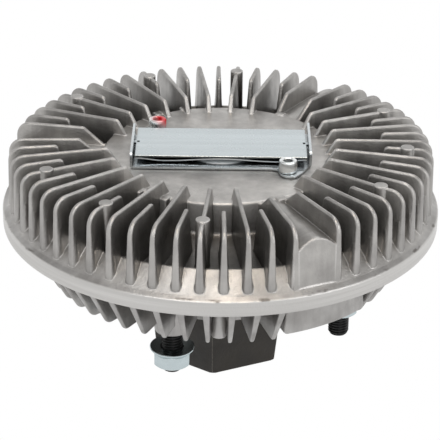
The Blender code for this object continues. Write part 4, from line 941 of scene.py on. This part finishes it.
def make_hub():
    material, nodes, links, shader = new_finish("hub_phosphate")
    tone = noise(nodes, links, 55.0, 6.0)
    coat = ramp(nodes, links, tone, [(0.3, (0.011, 0.009, 0.007)), (0.72, (0.032, 0.027, 0.021))])
    soft = nodes.new("ShaderNodeBevel")
    soft.samples = 4
    soft.inputs["Radius"].default_value = 0.0006
    geometry = nodes.new("ShaderNodeNewGeometry")
    turn = nodes.new("ShaderNodeVectorMath")
    turn.operation = "DOT_PRODUCT"
    links.new(soft.outputs[0], turn.inputs[0])
    links.new(geometry.outputs["Normal"], turn.inputs[1])
    worn = ramp(nodes, links, turn.outputs["Value"], [(0.86, grey(0.8)), (0.99, grey(0.0))])
    mix = nodes.new("ShaderNodeMix")
    mix.data_type = "RGBA"
    links.new(worn, mix.inputs["Factor"])
    links.new(coat, mix.inputs["A"])
    mix.inputs["B"].default_value = (0.26, 0.24, 0.21, 1.0)
    links.new(mix.outputs["Result"], shader.inputs["Base Color"])
    rough = ramp(nodes, links, noise(nodes, links, 120.0), [(0.3, grey(0.36)), (0.7, grey(0.55))])
    links.new(rough, shader.inputs["Roughness"])
    shader.inputs["Metallic"].default_value = 0.35
    bump = nodes.new("ShaderNodeBump")
    bump.inputs["Strength"].default_value = 0.3
    bump.inputs["Distance"].default_value = 0.0004
    links.new(noise(nodes, links, 700.0, 4.0), bump.inputs["Height"])
    links.new(bump.outputs[0], shader.inputs["Normal"])
    hub = add_piece("hub_forging", hub_mesh())
    hub.data.materials.append(material)
    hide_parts("input_hub")
    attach(hub, "input_hub")


make_hub()


# Strip bracket: a tray pressed from 1.2 mm steel sheet and zinc plated, with a turned-up wall
# at each end and an ear at two opposite corners. Two screws hold it to the cover's face.
BASE_Z = 110.1
SHEET_T = 1.2
WALL_X = 45.6
BEND_R = 1.8
BASE_HALF_W = 21.7
WALL_TOP_Z = 118.5
STRIP_Z = 114.6


def zinc_finish(name, colour, roughness, streak, crystal):
    """Bright zinc plate: bluish, with fine streaks along X and soft crystals, and painted shade in the nooks."""
    material, nodes, links, shader = new_finish(name)
    along = noise(nodes, links, 60.0, 5.0, (0.06, 3.0, 3.0))
    low = tuple(level * (1 - streak) for level in colour)
    nook = nodes.new("ShaderNodeAmbientOcclusion")
    nook.samples = 4
    nook.inputs["Distance"].default_value = 0.003
    # Painted shade: the colour is darkened where ambient occlusion finds a nook, such as a screw socket.
    shaded_in_nooks = nodes.new("ShaderNodeVectorMath")
    shaded_in_nooks.operation = "SCALE"
    links.new(ramp(nodes, links, along, [(0.3, low), (0.7, colour)]), shaded_in_nooks.inputs[0])
    links.new(map_range(nodes, links, nook.outputs["AO"], 0.25, 0.8, 0.2, 1.0), shaded_in_nooks.inputs["Scale"])
    links.new(shaded_in_nooks.outputs[0], shader.inputs["Base Color"])
    cell = ramp(nodes, links, noise(nodes, links, 160.0, 2.0), [(0.35, grey(roughness)), (0.65, grey(roughness + crystal))])
    links.new(cell, shader.inputs["Roughness"])
    shader.inputs["Metallic"].default_value = 1.0
    bump = nodes.new("ShaderNodeBump")
    bump.inputs["Strength"].default_value = 0.08
    bump.inputs["Distance"].default_value = 0.0002
    links.new(noise(nodes, links, 500.0, 3.0, (0.1, 2.0, 2.0)), bump.inputs["Height"])
    links.new(bump.outputs[0], shader.inputs["Normal"])
    return material


def paint_shade_on_strip_edges(material, level):
    """Painted shade: the sheared edges of a flat strip, and every face that does not face up, are darker than its top.
    """
    nodes, links = material.node_tree.nodes, material.node_tree.links
    shader = nodes["Principled BSDF"]
    geometry = nodes.new("ShaderNodeNewGeometry")
    facing = nodes.new("ShaderNodeVectorMath")
    facing.operation = "DOT_PRODUCT"
    facing.inputs[1].default_value = (0.0, 0.0, 1.0)
    links.new(geometry.outputs["True Normal"], facing.inputs[0])
    # Painted shade by facing: the colour drops to level where the face turns away from up.
    flat = map_range(nodes, links, facing.outputs["Value"], 0.3, 0.9, level, 1.0)
    scaled = nodes.new("ShaderNodeVectorMath")
    scaled.operation = "SCALE"
    links.new(shader.inputs["Base Color"].links[0].from_socket, scaled.inputs[0])
    links.new(flat, scaled.inputs["Scale"])
    links.new(scaled.outputs[0], shader.inputs["Base Color"])


def paint_round_reflection(material):
    """A painted reflection: a pale matt round spot in the tray about the shaft axis, part of which shows under the
    leaf.
    """
    nodes, links = material.node_tree.nodes, material.node_tree.links
    shader = nodes["Principled BSDF"]
    radius, _ = radius_and_height(nodes, links)
    spot = map_range(nodes, links, radius, 0.0186, 0.0168)
    mix = nodes.new("ShaderNodeMix")
    mix.data_type = "RGBA"
    links.new(spot, mix.inputs["Factor"])
    links.new(shader.inputs["Base Color"].links[0].from_socket, mix.inputs["A"])
    # Painted reflection: inside the spot the colour is pale and the surface has little metal.
    mix.inputs["B"].default_value = (0.9, 0.93, 0.94, 1.0)
    links.new(mix.outputs["Result"], shader.inputs["Base Color"])
    links.new(map_range(nodes, links, radius, 0.0168, 0.0186, 0.1, 1.0), shader.inputs["Metallic"])


bracket_finish = zinc_finish("bracket_zinc", (0.62, 0.66, 0.68), 0.22, 0.06, 0.06)
paint_round_reflection(bracket_finish)


def put_box(shape, low, high):
    made = bmesh.ops.create_cube(shape, size=1.0)
    middle = Matrix.Translation([(a + b) / 2 for a, b in zip(low, high)])
    size = Matrix.Diagonal([b - a for a, b in zip(low, high)] + [1.0])
    bmesh.ops.transform(shape, matrix=middle @ size, verts=made["verts"])


def cut(piece, cutter_mesh):
    """Cuts holes with a Boolean and keeps the result as a plain mesh."""
    cutter = add_piece("cutter", cutter_mesh)
    step = piece.modifiers.new("Cut", "BOOLEAN")
    step.operation = "DIFFERENCE"
    step.object = cutter
    step.solver = "EXACT"
    bpy.context.view_layer.update()
    graph = bpy.context.evaluated_depsgraph_get()
    mesh = bpy.data.meshes.new_from_object(piece.evaluated_get(graph))
    piece.modifiers.remove(step)
    bpy.data.objects.remove(cutter)
    piece.data = mesh
    return piece


def tray_base_outline():
    """The base with its two ears, seen from above."""
    half = [
        (25.5, -BASE_HALF_W, 1.5),
        (28.4, -23.0, 1.5),
        (30.0, -30.3, 5.0),
        (36.6, -32.0, 5.0),
        (40.3, -27.2, 3.0),
        (WALL_X - BEND_R, -19.0, 1.0),
        (WALL_X - BEND_R, BASE_HALF_W),
    ]
    other = [(-corner[0], -corner[1], *corner[2:]) for corner in half]
    return fillet(half + other, 6)


def tray_walls(shape):
    """Each end wall with its bend, as a folded sheet with rounded top corners."""
    wall_r = 1.6
    path = []
    for step in range(9):
        turn = math.radians(-90 + 90 * step / 8)
        centre_x, centre_z = WALL_X - BEND_R, BASE_Z + BEND_R
        path.append((centre_x, centre_z, math.cos(turn), math.sin(turn)))
    for side in (1, -1):
        rings = []
        for cx, cz, ux, uz in path:
            limits = (-17.8, BASE_HALF_W) if side > 0 else (-BASE_HALF_W, 17.8)
            outer = (cx + ux * BEND_R, cz + uz * BEND_R)
            inner = (cx + ux * (BEND_R - SHEET_T), cz + uz * (BEND_R - SHEET_T))
            rings.append((outer, inner, limits))
        for step in range(1, 8):
            z = BASE_Z + BEND_R + (WALL_TOP_Z - wall_r - BASE_Z - BEND_R) * step / 7
            rings.append(((WALL_X, z), (WALL_X - SHEET_T, z), rings[0][2]))
        for step in range(1, 7):
            turn = math.pi / 2 * step / 6
            z = WALL_TOP_Z - wall_r + wall_r * math.sin(turn)
            draw = wall_r * (1 - math.cos(turn))
            low, high = rings[0][2]
            rings.append(((WALL_X, z), (WALL_X - SHEET_T, z), (low + draw, high - draw)))
        loops = []
        for (ox, oz), (ix, iz), (low, high) in rings:
            loops.append([
                (side * ox, low, oz),
                (side * ox, high, oz),
                (side * ix, high, iz),
                (side * ix, low, iz),
            ])
        rows = put_loft(shape, loops)
        shape.faces.new(rows[0][::-1])
        shape.faces.new(rows[-1])


def make_bracket():
    base = bmesh.new()
    flat = Matrix(((1, 0, 0, 0), (0, 0, 1, 0), (0, 1, 0, 0), (0, 0, 0, 1)))
    put_slab(base, tray_base_outline(), lambda x, z: BASE_Z, lambda x, z: BASE_Z + SHEET_T, 0.12, flat, 2)
    bracket = add_piece("bracket_pressing", finished("bracket_pressing", base))
    holes = bmesh.new()
    put_turned(holes, [(0.0, 108.0), (3.0, 108.0), (3.0, 113.0), (0.0, 113.0)], 48)
    for side in (1, -1):
        hole = [(0.0, 108.0), (2.8, 108.0), (2.8, 113.0), (0.0, 113.0)]
        put_turned(holes, hole, 32, 33.4 * side, -25.4 * side)
    cut(bracket, finished("holes", holes))
    walls = bmesh.new()
    tray_walls(walls)
    wall_piece = add_piece("bracket_walls", finished("bracket_walls", walls))
    slots = bmesh.new()
    for side in (1, -1):
        low = (side * WALL_X - 2.5, -1.8, STRIP_Z - 0.3)
        high = (side * WALL_X + 2.5, 1.8, STRIP_Z + 1.3)
        put_box(slots, low, high)
    cut(wall_piece, finished("slots", slots))
    whole = joined("strip_bracket_pressing", [bracket.data, wall_piece.data], bracket_finish)
    bpy.data.objects.remove(bracket)
    bpy.data.objects.remove(wall_piece)
    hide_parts("strip_bracket")
    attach(whole, "housing")


make_bracket()


# Bimetal strip and its backing leaf: two rolled metal strips bonded, and a thin wavy spring leaf.
# The tongues sit in the end walls, and the middle bows up with the pin as the metal warms.
STRIP_HALF_L = 43.2
STRIP_HALF_W = 17.7
LEAF_HALF_L = 43.0
LEAF_HALF_W = 17.3
LEAF_TOP_Z = 114.3
LEAF_VALLEY = 28.5


def half_strip(side):
    """One half of the strip, from the middle to a tongue, in short steps."""
    edge = 0.1
    rings = []
    stations = [STRIP_HALF_L * step / 24 for step in range(25)]
    for x in stations:
        half = STRIP_HALF_W
        low, high = STRIP_Z, STRIP_Z + 1.0
        rings.append([
            (side * x, -half, low + edge),
            (side * x, -half + edge, low),
            (side * x, half - edge, low),
            (side * x, half, low + edge),
            (side * x, half, high - edge),
            (side * x, half - edge, high),
            (side * x, -half + edge, high),
            (side * x, -half, high - edge),
        ])
    shape = bmesh.new()
    rows = put_loft(shape, rings)
    shape.faces.new(rows[0][::-1])
    shape.faces.new(rows[-1])
    ends = sorted((side * STRIP_HALF_L, side * (STRIP_HALF_L + 1.9)))
    put_box(shape, (ends[0], -1.5, STRIP_Z + 0.02), (ends[1], 1.5, STRIP_Z + 0.98))
    return finished("strip_half", shape)


def cut_end_hole(piece, side):
    """A small hole near each end of the strip, left by the tool that forms the tongue."""
    shape = bmesh.new()
    ends = sorted((side * 41.6, side * 42.9))
    put_box(shape, (ends[0], -0.9, STRIP_Z - 1.0), (ends[1], 0.9, STRIP_Z + 2.0))
    cut(piece, finished("end_hole", shape, False))
    piece.data.shade_smooth()
    piece.data.set_sharp_from_angle(angle=math.radians(32))


def leaf_z(x):
    """Height of the leaf's top: it meets the strip at the middle and the ends, and dips between."""
    across = abs(x)
    if across < LEAF_VALLEY:
        share = across / LEAF_VALLEY
    else:
        share = (LEAF_HALF_L - across) / (LEAF_HALF_L - LEAF_VALLEY)
    return LEAF_TOP_Z - 1.2 * (1 - math.cos(math.pi * share)) / 2


def half_leaf(side):
    rings = []
    for step in range(41):
        x = LEAF_HALF_L * step / 40
        top = leaf_z(x)
        rings.append([
            (side * x, -LEAF_HALF_W, top - 0.6),
            (side * x, LEAF_HALF_W, top - 0.6),
            (side * x, LEAF_HALF_W, top),
            (side * x, -LEAF_HALF_W, top),
        ])
    shape = bmesh.new()
    rows = put_loft(shape, rings)
    shape.faces.new(rows[0][::-1])
    shape.faces.new(rows[-1])
    return finished("leaf_half", shape)


def make_strip():
    strip_finish = zinc_finish("strip_bimetal", (0.60, 0.655, 0.675), 0.24, 0.10, 0.05)
    paint_shade_on_strip_edges(strip_finish, 0.22)
    leaf_finish = zinc_finish("leaf_steel", (0.72, 0.75, 0.77), 0.22, 0.05, 0.05)
    for side, end in ((1, "right"), (-1, "left")):
        for name, mesh, finish, node, z in (
            ("strip", half_strip(side), strip_finish, "bimetal_strip", STRIP_Z),
            ("leaf", half_leaf(side), leaf_finish, "backing_leaf", LEAF_TOP_Z),
        ):
            piece = add_piece(f"{name}_{end}_half", mesh)
            if name == "strip":
                cut_end_hole(piece, side)
            piece.data.materials.append(finish)
            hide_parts(node)
            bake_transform(piece)


make_strip()


# Bracket screws: two M5 socket cap screws with knurled heads, zinc plated.
# The rear one is marked with a dab of red paint, as assemblers mark a tightened screw.
SCREW_X = 33.4
SCREW_Y = 25.4
HEAD_LOW_Z = 111.6
HEAD_R = 4.6
HEAD_TOP_Z = HEAD_LOW_Z + 6.0


def cap_screw_mesh(x, y):
    steps = 168

    def socket(t):
        return hexagon_r(2.3, t, 60.0)

    def knurl(t):
        return HEAD_R - 0.16 * (0.5 + 0.5 * math.cos(42 * t))

    rings = [[(x, y, HEAD_TOP_Z - 3.4)]]
    rings.append(ring_at(socket, HEAD_TOP_Z - 3.0, steps, x, y))
    rings.append(ring_at(socket, HEAD_TOP_Z - 0.4, steps, x, y))
    rings.append(ring_at(lambda t: 2.85, HEAD_TOP_Z, steps, x, y))
    rings.append(ring_at(lambda t: HEAD_R - 0.75, HEAD_TOP_Z, steps, x, y))
    rings.append(ring_at(lambda t: HEAD_R - 0.3, HEAD_TOP_Z - 0.2, steps, x, y))
    for z in (HEAD_TOP_Z - 0.75, HEAD_LOW_Z + 1.1):
        rings.append(ring_at(knurl, z, steps, x, y))
    rings.append(ring_at(lambda t: HEAD_R - 0.15, HEAD_LOW_Z + 0.8, steps, x, y))
    rings.append(ring_at(lambda t: HEAD_R - 0.3, HEAD_LOW_Z, steps, x, y))
    rings.append(ring_at(lambda t: 2.5, HEAD_LOW_Z, steps, x, y))
    rings.append(ring_at(lambda t: 2.5, 101.3, steps, x, y))
    rings.append(ring_at(lambda t: 2.0, 100.8, steps, x, y))
    rings.append([(x, y, 100.8)])
    shape = bmesh.new()
    put_loft(shape, rings)
    return finished("cap_screw", shape)


def red_dab(material, x, y):
    """Mixes a dab of red paint into a finish, with a ragged edge round one side of the head."""
    nodes, links = material.node_tree.nodes, material.node_tree.links
    shader = nodes["Principled BSDF"]
    place = nodes.new("ShaderNodeTexCoord")
    away = nodes.new("ShaderNodeVectorMath")
    away.operation = "DISTANCE"
    away.inputs[1].default_value = (x * MM, y * MM, HEAD_TOP_Z * MM)
    links.new(place.outputs["Object"], away.inputs[0])
    ragged = nodes.new("ShaderNodeMath")
    ragged.operation = "MULTIPLY_ADD"
    ragged.inputs[1].default_value = 0.0022
    links.new(noise(nodes, links, 420.0, 3.0), ragged.inputs[0])
    links.new(away.outputs["Value"], ragged.inputs[2])
    mask = ramp(nodes, links, ragged.outputs[0], [(0.0044, grey(1.0)), (0.0048, grey(0.0))])
    plain = shader.inputs["Base Color"].links[0].from_socket
    mix = nodes.new("ShaderNodeMix")
    mix.data_type = "RGBA"
    links.new(mask, mix.inputs["Factor"])
    links.new(plain, mix.inputs["A"])
    mix.inputs["B"].default_value = (0.62, 0.012, 0.02, 1.0)
    links.new(mix.outputs["Result"], shader.inputs["Base Color"])
    bare = nodes.new("ShaderNodeMath")
    bare.operation = "SUBTRACT"
    bare.inputs[0].default_value = 1.0
    links.new(mask, bare.inputs[1])
    links.new(bare.outputs[0], shader.inputs["Metallic"])


def make_bracket_screws():
    for end, side in (("front", 1), ("rear", -1)):
        x, y = SCREW_X * side, -SCREW_Y * side
        finish = zinc_finish(f"screw_zinc_{end}", (0.80, 0.82, 0.82), 0.16, 0.04, 0.05)
        if end == "rear":
            red_dab(finish, x + 2.7, y + 0.5)
        screw = add_piece(f"cap_screw_{end}", cap_screw_mesh(x, y))
        screw.data.materials.append(finish)
        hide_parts(f"bracket_screw_{end}")
        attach(screw, "housing")


make_bracket_screws()


# Fan studs and nuts: studs with rolled threads, black oxide, set in the rear bosses.
# The nuts have a washer flange and are zinc plated. The front left one is run back.
THREAD_PITCH = 1.5
STUD_LOW_Z = 19.0
NUT_H = 9.8


def stud_mesh(x, y):
    """A stud whose thread is a true helix, fading out at the pointed end."""
    around = 36
    low, high = STUD_LOW_Z, 56.5
    levels = int((high - low) / THREAD_PITCH * 6)
    rings = [[(x, y, low)]]
    for level in range(levels + 1):
        z = low + (high - low) * level / levels
        fade = min(1.0, (z - low) / 1.4)
        ring = []
        for step in range(around):
            turn = 2 * math.pi * step / around
            wave = ((z / THREAD_PITCH - step / around) % 1.0) * 2 - 1
            depth = 0.75 * max(0.0, 1 - abs(wave) * 1.5)
            radius = (5.3 - depth) * (0.84 + 0.16 * fade)
            ring.append((x + radius * math.cos(turn), y + radius * math.sin(turn), z))
        rings.append(ring)
    rings.append([(x, y, high)])
    shape = bmesh.new()
    put_loft(shape, rings)
    return finished("fan_stud", shape)


def nut_mesh(x, y, seat_z):
    """A hexagon nut with chamfered corners, a coned washer flange and a chamfered bore."""
    apothem = 8.75
    low = seat_z - NUT_H
    face_turn = math.radians(30)

    def hexagon(cap):
        return lambda t: min(hexagon_r(apothem, t - face_turn, 260.0), cap)

    def over_cone(cone):
        return lambda t: max(hexagon_r(apothem, t - face_turn, 260.0), cone)

    rings = [
        ring_at(lambda t: 5.4, low + 1.0, 144, x, y),
        ring_at(lambda t: 6.0, low, 144, x, y),
        ring_at(lambda t: 8.2, low, 144, x, y),
    ]
    for rise, cap in ((0.2, 8.75), (0.5, 9.15), (0.9, 9.55), (1.4, 9.95)):
        rings.append(ring_at(hexagon(cap), low + rise, 144, x, y))
    rings.append(ring_at(hexagon(20.0), seat_z - 3.4, 144, x, y))
    for drop, cone in ((3.0, 9.1), (2.5, 9.6), (1.9, 10.15), (1.3, 10.7)):
        rings.append(ring_at(over_cone(cone), seat_z - drop, 144, x, y))
    rings.append(ring_at(lambda t: 11.2, seat_z - 0.8, 144, x, y))
    rings.append(ring_at(lambda t: 11.2, seat_z - 0.25, 144, x, y))
    rings.append(ring_at(lambda t: 10.95, seat_z, 144, x, y))
    rings.append(ring_at(lambda t: 5.9, seat_z, 144, x, y))
    rings.append(ring_at(lambda t: 5.4, seat_z - 0.5, 144, x, y))
    shape = bmesh.new()
    put_loft(shape, rings, closed=True)
    return finished("fan_nut", shape)


def oxide_finish():
    material, nodes, links, shader = new_finish("stud_black_oxide")
    tone = ramp(nodes, links, noise(nodes, links, 300.0), [(0.3, grey(0.012)), (0.7, grey(0.03))])
    links.new(tone, shader.inputs["Base Color"])
    rough = ramp(nodes, links, noise(nodes, links, 500.0), [(0.3, grey(0.3)), (0.7, grey(0.45))])
    links.new(rough, shader.inputs["Roughness"])
    shader.inputs["Metallic"].default_value = 0.7
    return material


def make_studs():
    black = oxide_finish()
    zinc = zinc_finish("nut_zinc_plate", (0.53, 0.60, 0.62), 0.14, 0.10, 0.06)
    for number, angle in enumerate(STUD_ANGLES, 1):
        x, y = at_angle(STUD_PLACE_R, angle)
        stud = add_piece(f"threaded_stud_{number}", stud_mesh(x, y))
        stud.data.materials.append(black)
        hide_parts(f"fan_stud_{number}")
        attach(stud, "housing")
        seat_z = FAN_SEAT_Z - (9.5 if number == 1 else 0.3)
        nut = add_piece(f"flange_nut_{number}", nut_mesh(x, y, seat_z))
        nut.data.materials.append(zinc)
        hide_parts(f"fan_nut_{number}")
        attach(nut, "housing")


make_studs()


# Inside: bearing, clutch plate, separator plate, valve and seals, which the solids show as they are.
# Each gets the finish of its own metal or rubber.
def plain_metal(name, dark, light, roughness, scale, stretch=(1.0, 1.0, 1.0)):
    material, nodes, links, shader = new_finish(name)
    tone = ramp(nodes, links, noise(nodes, links, scale, 4.0, stretch), [(0.3, dark), (0.7, light)])
    links.new(tone, shader.inputs["Base Color"])
    rough = ramp(
        nodes, links, noise(nodes, links, scale * 2.5), [(0.3, grey(roughness)), (0.7, grey(roughness + 0.08))]
    )
    links.new(rough, shader.inputs["Roughness"])
    shader.inputs["Metallic"].default_value = 1.0
    return material


def rubber_finish():
    material, nodes, links, shader = new_finish("seal_rubber_black")
    tone = ramp(nodes, links, noise(nodes, links, 400.0), [(0.3, grey(0.012)), (0.7, grey(0.022))])
    links.new(tone, shader.inputs["Base Color"])
    rough = ramp(nodes, links, noise(nodes, links, 700.0), [(0.3, grey(0.6)), (0.7, grey(0.8))])
    links.new(rough, shader.inputs["Roughness"])
    return material


def finish_nodes(names, material):
    for name in names:
        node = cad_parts[name]
        node.data.materials.clear()
        node.data.materials.append(material)


def finish_inside():
    ground = plain_metal("ground_bearing_steel", grey(0.48), (0.58, 0.58, 0.60), 0.16, 60.0, (1.0, 1.0, 12.0))
    polished = plain_metal("polished_ball_steel", grey(0.56), (0.66, 0.66, 0.68), 0.06, 90.0)
    pressed = plain_metal("pressed_sheet_steel", grey(0.36), (0.50, 0.50, 0.51), 0.30, 80.0)
    spring = plain_metal("blued_spring_steel", (0.16, 0.17, 0.20), (0.24, 0.25, 0.28), 0.28, 80.0)
    turned_plate = plain_metal("turned_aluminium", grey(0.44), (0.56, 0.56, 0.55), 0.30, 40.0, (1.0, 1.0, 8.0))
    finish_nodes(["bearing_inner_ring", "bearing_outer_ring", "valve_pin"], ground)
    finish_nodes([f"bearing_ball_{number}" for number in range(1, 10)], polished)
    finish_nodes(["bearing_cage", "bearing_shield_lower", "bearing_shield_upper"], pressed)
    finish_nodes(["separator_plate", "valve_arm_rivet"], pressed)
    finish_nodes([f"separator_screw_{number}" for number in range(1, 4)], pressed)
    finish_nodes(["bearing_snap_ring", "plate_lock_ring", "valve_arm"], spring)
    finish_nodes(["clutch_plate"], turned_plate)
    finish_nodes(["rim_seal_ring", "pin_seal_ring"], rubber_finish())


finish_inside()
